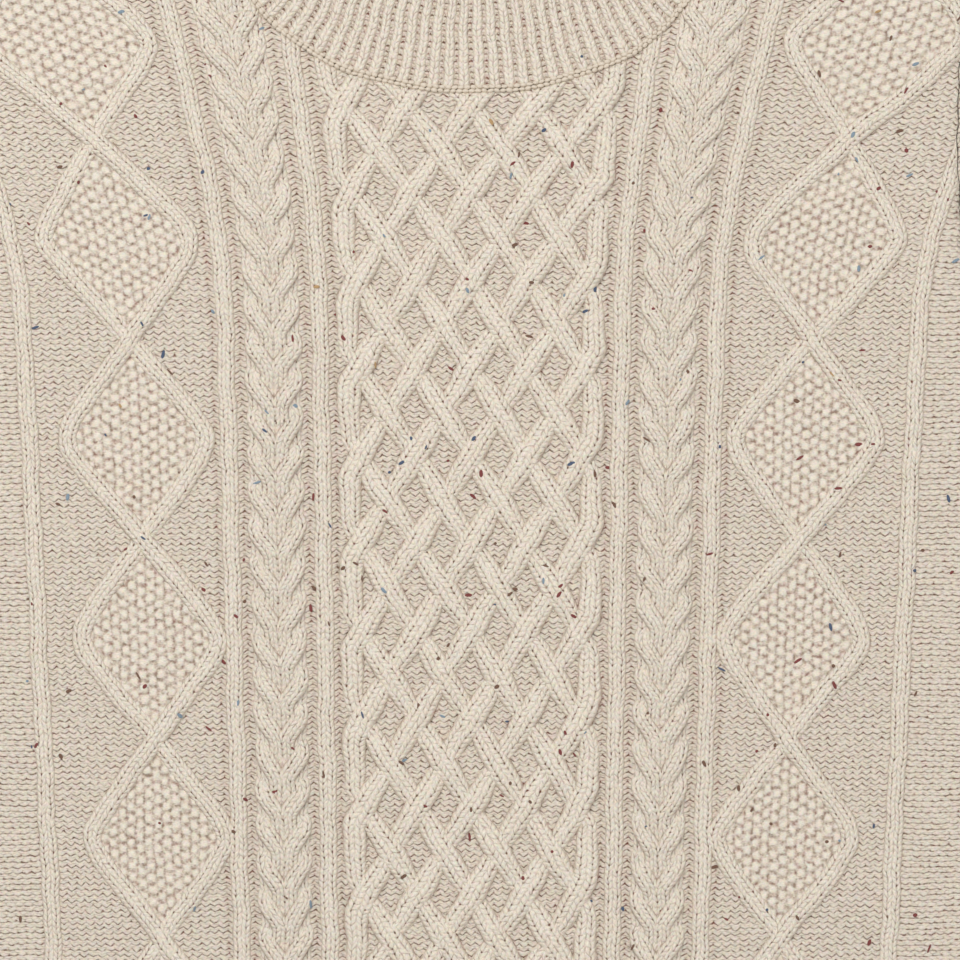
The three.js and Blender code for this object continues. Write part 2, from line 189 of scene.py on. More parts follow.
# How far a plain wall's faces close in at its rim, and over what depth
SHELL_ROUND = 0.35
SHELL_EDGE = 3.0
# Level of the purl valleys in the ribs of the hem, the cuffs and the collar
RIB_LEVEL = WALL.ground - 0.2


def smooth(value: Array) -> Array:
    """Soft step from 0 to 1 as the value goes from 0 to 1."""
    part = np.clip(value, 0.0, 1.0)
    return part * part * (3.0 - 2.0 * part)


def bezier(points: Sequence[tuple[float, float]], steps: int) -> Array:
    """Points along a Bezier curve.

    Args:
        points: Three or four control points.
        steps: Number of steps along the curve.

    Returns:
        The points, one row each.
    """
    part = np.linspace(0.0, 1.0, steps + 1)[:, None]
    order = len(points) - 1
    terms = [
        math.comb(order, k) * part**k * (1 - part) ** (order - k) * np.array(point)
        for k, point in enumerate(points)
    ]
    return np.sum(terms, axis=0)


# Waves of the stitches' drift: how fast each turns by x and by height, and where it starts
ACROSS_WAVES = ((0.043, 0.171, 0.0), (-0.131, 0.087, 2.0), (0.09, 0.41, 0.0))
ALONG_WAVES = ((0.152, -0.031, 0.7), (0.069, 0.118, 4.0))
DRIFT_ACROSS = 0.22
DRIFT_ALONG = 0.3


def uneven(x: Array, y: Array) -> tuple[Array, Array]:
    """Small drift of the stitches, as hand tension and washing leave it.

    Args:
        x: Places across, in millimetres.
        y: Heights, in millimetres.

    Returns:
        The shift across and the shift along at each place.
    """
    across, along = (
        sum(np.sin(by_x * x + by_y * y + start) for by_x, by_y, start in waves)
        for waves in (ACROSS_WAVES, ALONG_WAVES)
    )
    return DRIFT_ACROSS * across, DRIFT_ALONG * along


def both_sides(half: Array) -> Array:
    """A closed outline from its right half, which starts and ends on or near the centre line."""
    mirrored = half[::-1] * np.array([-1.0, 1.0])
    return np.concatenate([half, mirrored])


# Neck and collar curves


def dip(x: Array, half: float, drop: float, roundness: float) -> Array:
    """Height of a superellipse above its lowest point.

    Args:
        x: Places across, from the centre line.
        half: Half the curve's width.
        drop: Its whole height.
        roundness: Its exponent.

    Returns:
        The height at each place.
    """
    reach = np.minimum(1.0, np.abs(x) / half) ** roundness
    return drop * (1.0 - (1.0 - reach) ** (1.0 / roundness))


def front_seam(x: Array) -> Array:
    """Height of the front neck seam."""
    return dip(x, CUT.neck_half, CUT.neck_front_drop, CUT.neck_front_round)


def back_seam(x: Array) -> Array:
    """Height of the back neck seam."""
    reach = np.minimum(1.0, np.abs(x) / CUT.neck_half) ** CUT.neck_back_round
    return CUT.neck_front_drop - CUT.neck_back_drop * (1.0 - reach)


def front_top(x: Array) -> Array:
    """Height of the collar's front top edge."""
    return CUT.collar_front + dip(x, CUT.collar_top_half, CUT.collar_side - CUT.collar_front, 2.0)


def back_top(x: Array) -> Array:
    """Height of the collar's back top edge."""
    reach = (np.asarray(x) / CUT.collar_top_half) ** 2
    return CUT.collar_side - (CUT.collar_side - CUT.collar_back) * (1.0 - reach)


def neck_curve(half: float, height: Callable[[Array], Array], steps: int = 40) -> Array:
    """Points on a neck curve from the left fold to the right fold."""
    x = half * np.sin(np.linspace(-math.pi / 2, math.pi / 2, 2 * steps + 1))
    return np.stack([x, height(x)], axis=1)


def along_curve(points: Array, part: Array) -> Array:
    """Points at given parts of a line's length.

    Args:
        points: The line's points.
        part: Parts of its length, from 0 to 1.

    Returns:
        A point for each part.
    """
    steps = np.linalg.norm(np.diff(points, axis=0), axis=1)
    length = np.concatenate([[0.0], np.cumsum(steps)])
    return np.stack([np.interp(part * length[-1], length, points[:, k]) for k in range(2)], axis=-1)


# Outlines of the pieces


def armhole_curve() -> Array:
    """The right armhole from the shoulder tip to the underarm."""
    tip = (CUT.shoulder_x, CUT.shoulder_y)
    return bezier([tip, (CUT.armhole_x, CUT.armhole_y), (CUT.half_width, CUT.underarm)], ARMHOLE_STEPS)


def panel_outline(seam: Callable[[Array], Array]) -> Array:
    """Outline of a body panel above its hem rib.

    Args:
        seam: Gives the height of its neck seam.

    Returns:
        Its points, anticlockwise from the centre.
    """
    x = (CUT.neck_half + WALL.gap) * np.sin(np.linspace(0.0, math.pi / 2, NECK_STEPS + 1))
    neck = np.stack([x, seam(x * CUT.neck_half / (CUT.neck_half + WALL.gap)) - WALL.gap], axis=1)
    low = np.array([[CUT.half_width, CUT.hem_top]])
    return both_sides(np.concatenate([neck, armhole_curve(), low]))


def heading(degrees: float) -> Array:
    """Unit vector at an angle from the x axis."""
    turn = math.radians(degrees)
    return np.array([math.cos(turn), math.sin(turn)])


def sleeve_place(across: Array, up: Array) -> tuple[Array, Array]:
    """Plan place of a point on the right sleeve.

    Args:
        across: Distance from the sleeve's centre line, outwards.
        up: Distance from the cuff joint towards the shoulder.

    Returns:
        The x and the height of each point.
    """
    turn = math.radians(CUT.sleeve_angle)
    x = CUT.joint_x + math.sin(turn) * across - math.cos(turn) * up
    y = CUT.joint_y + math.cos(turn) * across + math.sin(turn) * up
    return x, y


def sleeve_edges() -> tuple[Array, Array]:
    """The right sleeve's outer and inner folded edges, from the armhole to the cuff joint.

    Returns:
        The outer and the inner edge's points.
    """
    outer_end = np.array(sleeve_place(CUT.joint_half, 0.0))
    inner_end = np.array(sleeve_place(-CUT.joint_half, 0.0))
    start = np.array([CUT.shoulder_x + WALL.gap, CUT.shoulder_y - WALL.gap / 2])
    pit = np.array([CUT.half_width + WALL.gap, CUT.underarm - WALL.gap])
    edges = []
    for first, last, handles in (
        (start, outer_end, CUT.outer_handles), (pit, inner_end, CUT.inner_handles),
    ):
        reach, angle, end_reach, end_angle = handles
        leave, arrive = first + reach * heading(angle), last - end_reach * heading(end_angle)
        edges.append(bezier([first, leave, arrive, last], SLEEVE_STEPS))
    return edges[0], edges[1]


def sleeve_outline() -> Array:
    """Outline of the right sleeve above its cuff.

    Returns:
        Its points.
    """
    outer, inner = sleeve_edges()
    armhole = armhole_curve()[1:-1] + np.array([WALL.gap, 0.0])
    return np.concatenate([outer, inner[::-1], armhole[::-1]])


def hem_half(height: Array) -> Array:
    """Half the body's width in the hem rib."""
    levels = [CUT.hem_end, CUT.hem_end + RIB_EASE, CUT.hem_top - RIB_EASE, CUT.hem_top + JOINT_OVERLAP]
    return np.interp(height, levels, [CUT.hem_half_end, CUT.hem_half_end, CUT.hem_half_mid, CUT.half_width])


def cuff_half(up: Array) -> Array:
    """Half the sleeve's width in the cuff."""
    levels = [-CUT.cuff_length, RIB_EASE - CUT.cuff_length, -RIB_EASE, JOINT_OVERLAP]
    return np.interp(up, levels, [CUT.cuff_half_end, CUT.cuff_half_end, CUT.cuff_half_mid, CUT.joint_half])


@dataclass
class Outline:
    """A closed plan outline that knows how deep inside it a point lies."""

    points: Array
    step: float = 2.0
    margin: float = 12.0
    least_slope: float = 0.3

    def __post_init__(self) -> None:
        """Measure the depth on a grid of nodes."""
        self.low = self.points.min(axis=0) - self.margin
        high = self.points.max(axis=0) + self.margin
        count = np.ceil((high - self.low) / self.step).astype(int) + 1
        x = self.low[0] + self.step * np.arange(count[0])
        y = self.low[1] + self.step * np.arange(count[1])
        grid_x, grid_y = np.meshgrid(x, y, indexing="ij")
        nearest = np.full(grid_x.shape, np.inf)
        inside = np.zeros(grid_x.shape, bool)
        for (ax, ay), (bx, by) in zip(self.points, np.roll(self.points, -1, axis=0)):
            dx, dy = bx - ax, by - ay
            size = max(dx * dx + dy * dy, 1e-9)
            part = np.clip(((grid_x - ax) * dx + (grid_y - ay) * dy) / size, 0.0, 1.0)
            away = np.hypot(grid_x - ax - part * dx, grid_y - ay - part * dy)
            nearest = np.minimum(nearest, away)
            if dy != 0.0:
                crosses = (ay > grid_y) != (by > grid_y)
                inside ^= crosses & (grid_x < ax + dx * (grid_y - ay) / dy)
        self.grid = np.where(inside, nearest, -nearest)
        self.slope = np.gradient(self.grid, self.step)

    @property
    def area(self) -> float:
        """Area in square metres."""
        x, y = self.points[:, 0], self.points[:, 1]
        return abs(float(np.sum(x * np.roll(y, -1) - np.roll(x, -1) * y))) / 2 * MM * MM

    def read(self, table: Array, x: Array, y: Array) -> Array:
        """Read a table between its nodes.

        Args:
            table: A value for each node of the grid.
            x: Places across.
            y: Heights.

        Returns:
            The table's value at each place.
        """
        limit = np.array(table.shape) - 1.001
        i = np.clip((x - self.low[0]) / self.step, 0, limit[0])
        j = np.clip((y - self.low[1]) / self.step, 0, limit[1])
        a, b = i.astype(int), j.astype(int)
        p, q = i - a, j - b
        lower = table[a, b] * (1 - p) + table[a + 1, b] * p
        upper = table[a, b + 1] * (1 - p) + table[a + 1, b + 1] * p
        return lower * (1 - q) + upper * q

    def depth(self, x: Array, y: Array) -> Array:
        """Distance from the outline, positive inside."""
        return self.read(self.grid, x, y)

    def pull_inside(self, x: Array, y: Array) -> tuple[Array, Array, Array]:
        """Move outer points onto the outline.

        Args:
            x: Places across.
            y: Heights.

        Returns:
            The moved x and y, and each point's depth before the move.
        """
        depth = self.depth(x, y)
        out = np.minimum(depth, 0.0)
        slope_x, slope_y = self.read(self.slope[0], x, y), self.read(self.slope[1], x, y)
        size = np.maximum(np.hypot(slope_x, slope_y), self.least_slope)
        return x - out * slope_x / size, y - out * slope_y / size, depth


# Meshes


def add_object(name: str, data: ID) -> Object:
    """Make an object of some data, and put it in the scene.

    Args:
        name: The object's name.
        data: Its mesh, lamp or camera.

    Returns:
        The object.
    """
    made = bpy.data.objects.new(name, data)
    bpy.context.scene.collection.objects.link(made)
    return made


def rim_edges(faces: Array) -> Array:
    """Find the edges that only one of some four-sided faces has.

    Args:
        faces: The faces, four point numbers each.

    Returns:
        The edges, two point numbers each, in the order in which their face has them.
    """
    edges = np.concatenate([faces[:, [k, (k + 1) % 4]] for k in range(4)])
    edges = edges[edges[:, 0] != edges[:, 1]]
    _, index, uses = np.unique(np.sort(edges, axis=1), axis=0, return_index=True, return_counts=True)
    return edges[index[uses == 1]]


class Stitch(Enum):
    """The face of the cloth that shows."""

    KNIT = 0
    PURL = 1


Finishes = dict[Stitch, Material]


@dataclass
class Fabric:
    """Gathers knitted surfaces, and turns them into one piece."""

    points: list[Array] = field(default_factory=list)
    faces: list[Array] = field(default_factory=list)
    stitches: list[Stitch] = field(default_factory=list)
    painted_shades: list[Array] = field(default_factory=list)
    marks: list[Array] = field(default_factory=list)
    variants: list[Array] = field(default_factory=list)
    count: int = 0
    # Faces smaller than this, in square millimetres, are left out
    least_face: float = 1e-4

    def add_points(self, points: Array, pit: Array, marks: Array, variant: Array | None = None) -> int:
        """Add points with their attributes, and return the first one's number.

        Args:
            points: The points.
            pit: How much painted shade each gets, for lying deep in a groove.
            marks: The cloth's own coordinates of each.
            variant: The stitch's variant at each, if it isn't 0.

        Returns:
            The first point's number.
        """
        first = self.count
        self.points.append(points)
        self.painted_shades.append(pit)
        self.marks.append(marks)
        self.variants.append(np.zeros(len(points)) if variant is None else variant)
        self.count += len(points)
        return first

    def add_faces(self, faces: Array, stitch: Stitch) -> None:
        """Add faces in one stitch."""
        self.faces.append(faces)
        self.stitches.append(stitch)

    def add_grid(self, x: Array, y: Array, z: Array, pit: Array, marks: tuple[Array, Array],
                 stitch: Stitch, keep: Array | None = None, under: bool = False,
                 variant: Array | None = None) -> Array:
        """Add a grid whose rows go up and whose columns go right.

        Args:
            x: Places across, one row for each row of points.
            y: Heights.
            z: Levels above the surface.
            pit: How much painted shade each point gets for lying deep in a groove, from 0 to 1.
            marks: The cloth's own coordinates: wales across and stitches along.
            stitch: The face of the cloth that shows.
            keep: Points that keep the faces around them.
            under: Whether the surface faces down.
            variant: 1 where purl turns to moss stitch, or where plain knit is a tight rib, else 0.

        Returns:
            The faces, four point numbers each.
        """
        rows, columns = x.shape
        points = np.stack([x, y, z], axis=-1).reshape(-1, 3)
        flat_marks = np.stack(np.broadcast_arrays(*marks), axis=-1).reshape(-1, 2)
        variant = None if variant is None else variant.reshape(-1).astype(float)
        first = self.add_points(points, np.broadcast_to(pit, x.shape).reshape(-1), flat_marks, variant)
        number = first + np.arange(rows * columns).reshape(rows, columns)
        a, b = number[:-1, :-1], number[:-1, 1:]
        c, d = number[1:, 1:], number[1:, :-1]
        faces = np.stack([a, b, c, d], axis=-1).reshape(-1, 4)
        if keep is not None:
            flags = keep.reshape(-1)
            faces = faces[flags[faces - first].any(axis=1)]
        if under:
            faces = faces[:, ::-1]
        self.add_faces(faces, stitch)
        return faces

    def all_points(self) -> Array:
        """All points so far."""
        return np.concatenate(self.points)

    def add_skirt(self, faces: Array, level: float, pit: float = 0.35) -> None:
        """Close the rim of a surface with a wall down or up to a level.

        Args:
            faces: The surface's faces.
            level: Where the wall ends.
            pit: How much painted shade its far edge gets.
        """
        rim = rim_edges(faces)
        ids, where = np.unique(rim, return_inverse=True)
        where = where.reshape(-1, 2)
        points = self.all_points()[ids].copy()
        points[:, 2] = level
        marks = np.concatenate(self.marks)[ids] + 1.0
        first = self.add_points(points, np.full(len(ids), pit), marks)
        wall = np.stack([rim[:, 0], first + where[:, 0], first + where[:, 1], rim[:, 1]], axis=1)
        self.add_faces(wall, Stitch.PURL)

    def join(self, other: "Fabric") -> None:
        """Take over another gathering's surfaces.

        Args:
            other: The other gathering.
        """
        shift = self.count
        for points, pit, marks, variant in zip(other.points, other.painted_shades, other.marks, other.variants):
            self.add_points(points, pit, marks, variant)
        for faces, stitch in zip(other.faces, other.stitches):
            self.add_faces(faces + shift, stitch)

    def mirrored(self) -> "Fabric":
        """The same surfaces on the other side of the centre line.

        Returns:
            The mirrored gathering.
        """
        flip = np.array([-1.0, 1.0, 1.0])
        return Fabric(
            points=[points * flip for points in self.points],
            faces=[faces[:, ::-1] for faces in self.faces],
            stitches=list(self.stitches),
            painted_shades=list(self.painted_shades),
            marks=list(self.marks),
            variants=list(self.variants),
            count=self.count,
        )

    def build(self, name: str, finishes: Finishes) -> Object:
        """Make the piece.

        Args:
            name: The piece's name.
            finishes: The finish of each stitch.

        Returns:
            The mesh object, at the origin, in metres.
        """
        points = self.all_points()
        faces = np.concatenate(self.faces)
        kinds = sorted(set(self.stitches), key=lambda stitch: stitch.value)
        slots = np.repeat([kinds.index(stitch) for stitch in self.stitches], [len(f) for f in self.faces])
        whole = self.flat_sizes(points, faces) > self.least_face
        faces, slots = faces[whole], slots[whole]
        used, faces = np.unique(faces, return_inverse=True)
        faces = faces.reshape(-1, 4)
        points = points[used]
        shift_x, shift_y = uneven(points[:, 0], points[:, 1])
        points[:, 0] += shift_x
        points[:, 1] += shift_y
        points *= MM
        points[:, 1] -= CUT.middle * MM
        marks = np.concatenate(self.marks)[used]
        mesh = self.plain_mesh(name, points, faces, slots)
        # The pit attribute carries painted shade, which the yarn's colour mixes in towards the groove colour
        for label, values in (("pit", self.painted_shades), ("variant", self.variants)):
            layer = mesh.attributes.new(label, "FLOAT", "POINT")
            layer.data.foreach_set("value", np.concatenate(values)[used].astype(np.float32))
        corner = np.zeros(len(mesh.loops), np.int32)
        mesh.loops.foreach_get("vertex_index", corner)
        uv = mesh.uv_layers.new(name="cloth")
        uv.data.foreach_set("uv", marks[corner].astype(np.float32).ravel())
        for kind in kinds:
            mesh.materials.append(finishes[kind])
        log.info("%s: %d triangles", name, 2 * len(faces))
        return add_object(name, mesh)

    @staticmethod
    def plain_mesh(name: str, points: Array, faces: Array, slots: Array) -> Mesh:
        """Make a mesh of four-sided faces.

        Args:
            name: The mesh's name.
            points: Its points, in metres.
            faces: Four point numbers each.
            slots: The number of each face's material.

        Returns:
            The mesh, shaded smooth.
        """
        mesh = bpy.data.meshes.new(name)
        mesh.vertices.add(len(points))
        mesh.vertices.foreach_set("co", points.astype(np.float32).ravel())
        mesh.loops.add(faces.size)
        mesh.loops.foreach_set("vertex_index", faces.astype(np.int32).ravel())
        mesh.polygons.add(len(faces))
        mesh.polygons.foreach_set("loop_start", np.arange(0, faces.size, 4, dtype=np.int32))
        mesh.polygons.foreach_set("material_index", slots.astype(np.int32))
        mesh.polygons.foreach_set("use_smooth", np.ones(len(faces), bool))
        mesh.update(calc_edges=True)
        mesh.validate(clean_customdata=False)
        return mesh

    @staticmethod
    def flat_sizes(points: Array, faces: Array) -> Array:
        """Twice the area of each four-sided face.

        Args:
            points: The points.
            faces: Four point numbers each.

        Returns:
            The areas.
        """
        diagonal_a = points[faces[:, 2]] - points[faces[:, 0]]
        diagonal_b = points[faces[:, 3]] - points[faces[:, 1]]
        return np.linalg.norm(np.cross(diagonal_a, diagonal_b), axis=1)


# Ropes, ribs and cables: strips of knit wales along a path


@dataclass(frozen=True)
class Strip:
    """A strip of knit wales, arched over the ground, with a V of two yarn legs for each stitch."""

    wales: int = 2
    half_width: float = 4.1
    arch: float = 3.2
    rows: int = 3
    stitch: float = 2.8
    leg: float = 0.5
    sink: float = 0.7
    flatness: float = 2.2
    tight: bool = False
    # The strip's rim stands out by this share of its half width, and comes down to the seam over this depth
    rim: float = 0.07
    ease: float = 4.0
    seam_drop: float = 1.0
    # Depth of the lines between rows, down the middle of a V and between wales, as shares of a leg
    row_line: float = 0.35
    spine_line: float = 0.6
    side_line: float = 0.6
    # Amounts of painted shade in the lines between rows, down the middle of a V, between wales and at the
    # strip's rim
    row_shade: float = 0.08
    spine_shade: float = 0.12
    side_shade: float = 0.06
    edge_shade: float = 0.3

    def columns(self) -> tuple[Array, Array, Array]:
        """Lay out the columns of points across the strip.

        Returns:
            Places across, the arch's height there, and the place within a wale.
        """
        quarter = np.linspace(-1.0, 1.0, 4 * self.wales + 1)
        edge = quarter[-1] + self.rim
        across = np.concatenate([[-edge], quarter, [edge]])
        arch = np.where(np.abs(across) > 1.0, 0.0, (1.0 - 0.9 * np.abs(across) ** self.flatness) ** 0.6)
        within = np.abs((np.clip(across, -1, 1) + 1.0) * self.wales / 2 % 1.0 - 0.5) * 2.0
        return across, arch, within

    def lay(self, fabric: Fabric, path: Array, level: Array, outline: Outline | None,
            width: Array | None = None, hidden_below: float = -math.inf) -> None:
        """Lay the strip along a path.

        Args:
            fabric: Where its surface is gathered.
            path: The path's points, from low to high.
            level: The level of the strip's foot at each point.
            outline: The outline that it ends at.
            width: The half width at each point, if it varies.
            hidden_below: Level of the foot under which the strip is out of sight and is left out.
        """
        steps = np.linalg.norm(np.diff(path, axis=0), axis=1)
        length = np.concatenate([[0.0], np.cumsum(steps)])
        stitches = max(1, round(length[-1] / self.stitch))
        pitch = length[-1] / stitches
        across, arch, within = self.columns()
        row = np.arange(stitches * self.rows + 1)
        along = row[:, None] * pitch / self.rows + (within - 1.0) * CHEVRON
        x, y = (np.interp(along, length, path[:, k]) for k in range(2))
        turn = np.gradient(path, length + np.arange(len(length)) * 1e-9, axis=0)
        turn_x, turn_y = (np.interp(along, length, turn[:, k]) for k in range(2))
        size = np.maximum(np.hypot(turn_x, turn_y), 1e-6)
        half = self.half_width if width is None else np.interp(along, length, width)
        x = x + across * half * turn_y / size
        y = y - across * half * turn_x / size
        groove = np.where(row % self.rows == 0, 1.0, 0.0)[:, None]
        centre = (within < 0.1).astype(float)
        side = (within > 0.9).astype(float)
        spine = centre * (self.spine_line + (1.0 - self.spine_line) * groove)
        relief = -self.leg * (self.row_line * groove + spine + self.side_line * side)
        z = np.interp(along, length, level) + self.arch * arch + relief * (np.abs(across) <= 1.0)
        z = z - self.sink * (np.abs(across) > 1.0)
        # Painted shade in the row lines, the V's middle and between wales, more at the rim, and full where
        # the rim sinks to the ground
        pit = self.row_shade * groove + self.spine_shade * centre + self.side_shade * side
        pit = np.where(np.abs(across) > 0.97, self.edge_shade, pit)
        pit = np.where(np.abs(across) > 1.0, 1.0, pit)
        keep = None
        if outline is not None:
            x, y, depth = outline.pull_inside(x, y)
            low = WALL.ground - self.seam_drop
            z = low + (z - low) * smooth((depth + 0.6) / self.ease)
            keep = (depth > LEAST_DEPTH) & (np.interp(along, length, level) > hidden_below)
        marks = ((across + 1.0) * self.wales / 2 + 0 * x, along / pitch)
        fabric.add_grid(x, y, z, np.clip(pit, 0, 1), marks, Stitch.KNIT, keep,
                        variant=np.full(x.shape, float(self.tight)))


@dataclass(frozen=True)
class Lattice:
    """Ten ropes of two wales that cross over and under each other at the centre front."""

    strip: Strip = Strip(half_width=5.0)
    outer: float = 12.0
    edge_shift: float = 1.0
    period: float = 39.5
    first_row: float = -6.75
    ropes: int = 10
    lift: float = 1.0
    swell: float = 0.5
    # Half a rope's way across the lattice, in periods, and the wales between two holes of one row
    half_trip: float = 4.0
    hole_pitch: float = 6.0
    # Where a hole's corners lie from its middle, and how far their painted shade reaches across and along
    corner_at: float = 9.2
    corner_wide: float = 2.0
    corner_high: float = 1.7
    corner_reach: float = 2.0
    bow_rate: float = 4.5

    def corners(self, wales: Array, height: Array) -> Array:
        """How near a point of the ground lies to a hole's upper or lower corner, 1 at the corner, which sets
        the painted shade there.

        Args:
            wales: Places in wales.
            height: Heights.

        Returns:
            The nearness, which is 1 at the corner.
        """
        row = np.round((self.first_row - height) / (self.period / 2))
        half = self.hole_pitch / 2
        offset = np.where(np.mod(row, 2) == 0, 0.0, half)
        across = np.abs(np.mod(np.abs(wales) - offset + half, self.hole_pitch) - half) * GAUGE.wale
        along = np.abs(np.abs(self.first_row - row * self.period / 2 - height) - self.corner_at)
        near = np.exp(-((across / self.corner_wide) ** 2) - (along / self.corner_high) ** 2)
        return near * (np.abs(wales) < self.outer + self.corner_reach)

    def path(self, rope: int, height: Array) -> tuple[Array, Array]:
        """Place and lift of one rope.

        Args:
            rope: The rope's number.
            height: Heights along the body.

        Returns:
            Its place in wales, and how far it is lifted at each height.
        """
        half_trip = self.half_trip
        turn = np.mod((self.first_row - height) / self.period + rope, 2 * half_trip + 2)
        right = turn < half_trip
        right_edge = (turn >= half_trip) & (turn < half_trip + 1)
        left = (turn >= half_trip + 1) & (turn < 2 * half_trip + 1)
        slope = 2 * self.outer / half_trip
        stay = np.mod(turn - half_trip, half_trip + 1)
        bow = self.edge_shift * smooth(self.bow_rate * np.minimum(stay, 1 - stay))
        wales = np.select(
            [right, right_edge, left],
            [slope * turn - self.outer, self.outer + bow, self.outer - slope * (turn - half_trip - 1)],
            -self.outer - bow,
        )
        weave = np.cos(2 * math.pi * turn)
        rise = np.select(
            [right, right_edge, left],
            [-weave, -np.cos(math.pi * stay), weave],
            np.cos(math.pi * stay),
        )
        return wales, self.lift * rise


@dataclass(frozen=True)
class Horseshoe:
    """Two ropes side by side, whose strands all cross from the outside down to the centre."""

    strip: Strip = Strip(half_width=3.9, arch=2.1, stitch=2.7)
    bed: Strip = Strip(wales=6, half_width=11.6, arch=2.1, rows=1, flatness=5.0)
    outer_slot: float = 2.2
    inner_slot: float = 0.5
    period: float = 16.7
    first_row: float = 1.8
    over_span: tuple[float, float] = (0.0, 0.62)
    under_span: tuple[float, float] = (0.2, 0.72)
    # Rise of a strand over two periods: up and over, slowly down the centre, and back underneath
    rise_turns: tuple[float, ...] = (0.0, 0.14, 0.5, 1.15, 1.45, 1.75, 2.0)
    rises: tuple[float, ...] = (0.0, 2.3, 2.4, 0.1, -2.2, -0.1, 0.0)
    under_shrink: float = 0.6

    def path(self, strand: int, height: Array) -> tuple[Array, Array, Array]:
        """Course of one strand.

        Args:
            strand: 0 or 1.
            height: Heights along the cable.

        Returns:
            Its distance from the cable's centre in wales, its lift, and its half width.
        """
        turn = (self.first_row - height) / self.period + strand
        whole = np.floor(turn)
        inward = np.mod(whole, 2) == 0
        start = np.where(inward, self.over_span[0], self.under_span[0])
        end = np.where(inward, self.over_span[1], self.under_span[1])
        part = np.clip((turn - whole - start) / (end - start), 0.0, 1.0)
        away = np.where(inward, 1.0 - part, part)
        slots = self.inner_slot + (self.outer_slot - self.inner_slot) * away
        rise = np.interp(np.mod(turn, 2.0), self.rise_turns, self.rises)
        width = self.strip.half_width - np.where(inward, 0.0, self.under_shrink) * np.sin(math.pi * part)
        return slots, rise, width

    def strands(self, height: Array) -> Iterator[tuple[Array, Array, Array]]:
        """Courses of the four strands.

        Args:
            height: Heights along the cable.

        Yields:
            A strand's place in wales from the cable's centre, its lift, and its half width.
        """
        for half in (-1, 1):
            for strand in range(2):
                away, rise, width = self.path(strand, height)
                yield half * away, rise, width


@dataclass(frozen=True)
class Diamond:
    """Two ropes that swing apart and cross again, with moss stitch between them."""

    strip: Strip = Strip(half_width=4.3, arch=2.6)
    centre: float = 36.5
    swing: float = 9.0
    period: float = 89.8
    first_tip: float = -67.5
    roundness: float = 0.085
    drift: float = 0.0068
    drift_reach: float = 220.0
    lift: float = 0.7

    def centre_at(self, height: Array) -> Array:
        """Place of the column's centre in wales: it drifts inwards away from the chest."""
        away = np.minimum(np.abs(height - self.first_tip), self.drift_reach)
        return self.centre - self.drift * away

    def opening(self, height: Array) -> Array:
        """Half the distance between the two ropes, in wales, at a height.

        Args:
            height: Heights along the body.

        Returns:
            The distance at each height.
        """
        part = np.abs(np.mod((self.first_tip - height) / self.period + 0.5, 1.0) - 0.5)
        soft = np.sqrt(part**2 + self.roundness**2)
        return self.swing * (1.0 - 2.0 * soft)

    def path(self, rope: int, height: Array) -> tuple[Array, Array]:
        """Place and lift of one rope.

        Args:
            rope: The rope's number, 0 or 1.
            height: Heights along the body.

        Returns:
            Its place in wales and its lift at each height.
        """
        turn = np.mod((self.first_tip - height) / self.period + rope, 2.0)
        side = np.where((turn < 0.5) | (turn > 1.5), -1.0, 1.0)
        wales = self.centre_at(height) + side * self.opening(height)
        near = np.cos(math.pi * np.clip(np.abs(np.mod(turn, 1.0) - 0.5) / 0.25, 0, 1)) * 0.5 + 0.5
        return wales, self.lift * near * (1.0 if rope == 0 else -1.0)


@dataclass(frozen=True)
class Ground:
    """The purl and moss ground between the cables."""

    wave: float = 0.4
    ridge: float = 0.5
    moss_rise: float = 0.95
    moss_sink: float = 0.1
    moss_side: float = 0.55
    # Painted shade between the moss bumps, on the purl, and extra in its valleys
    moss_shade: float = 0.12
    purl_shade: float = 0.15
    valley_shade: float = 0.12
    edge_soft: float = 3.5

    def purl(self, wales: Array, row: Array) -> tuple[Array, Array]:
        """Relief and painted shade of reverse stocking stitch, whose grid follows its rows."""
        crest = (row % 2).astype(float) + 0 * wales
        return self.ridge * (crest - 0.5), self.purl_shade + self.valley_shade * (1 - crest)

    def moss(self, wales: Array, row: Array) -> tuple[Array, Array]:
        """Relief and painted shade of moss stitch, whose bumps lie like bricks.

        Args:
            wales: Places in wales.
            row: Numbers of the half rows.

        Returns:
            The relief and how much painted shade each point gets between the bumps.
        """
        step = row / 2 * GAUGE.purl_row / GAUGE.moss_row
        column = np.round(wales)
        tall = np.cos(math.pi * (step + column)) * 0.5 + 0.5
        wide = np.cos(2 * math.pi * (wales - column)) * 0.5 + 0.5
        knob = tall * (self.moss_side + (1.0 - self.moss_side) * wide)
        return self.moss_rise * knob - self.moss_sink, self.moss_shade * (1.0 - knob)


def build_smoothed(x: Array, y: Array, window: int = 5) -> Array:
    """A path whose corners are rounded by a running mean.

    Args:
        x: Places across.
        y: Heights.
        window: How many points each mean takes.

    Returns:
        The path's points.
    """
    kernel = np.ones(window) / window
    points = []
    for values in (x, y):
        padded = np.concatenate([
            2 * values[0] - values[window:0:-1], values, 2 * values[-1] - values[-2 : -window - 2 : -1]
        ])
        points.append(np.convolve(padded, kernel, mode="same")[window:-window])
    return np.stack(points, axis=1)


# Finishes


def linear(colour: str) -> tuple[float, float, float, float]:
    """Turn an sRGB hex value to linear.

    Args:
        colour: The value, with its hash sign.

    Returns:
        Linear red, green and blue, and full alpha.
    """
    parts = [int(colour[k : k + 2], 16) / 255 for k in (1, 3, 5)]
    red, green, blue = (p / 12.92 if p <= 0.04045 else ((p + 0.055) / 1.055) ** 2.4 for p in parts)
    return red, green, blue, 1.0


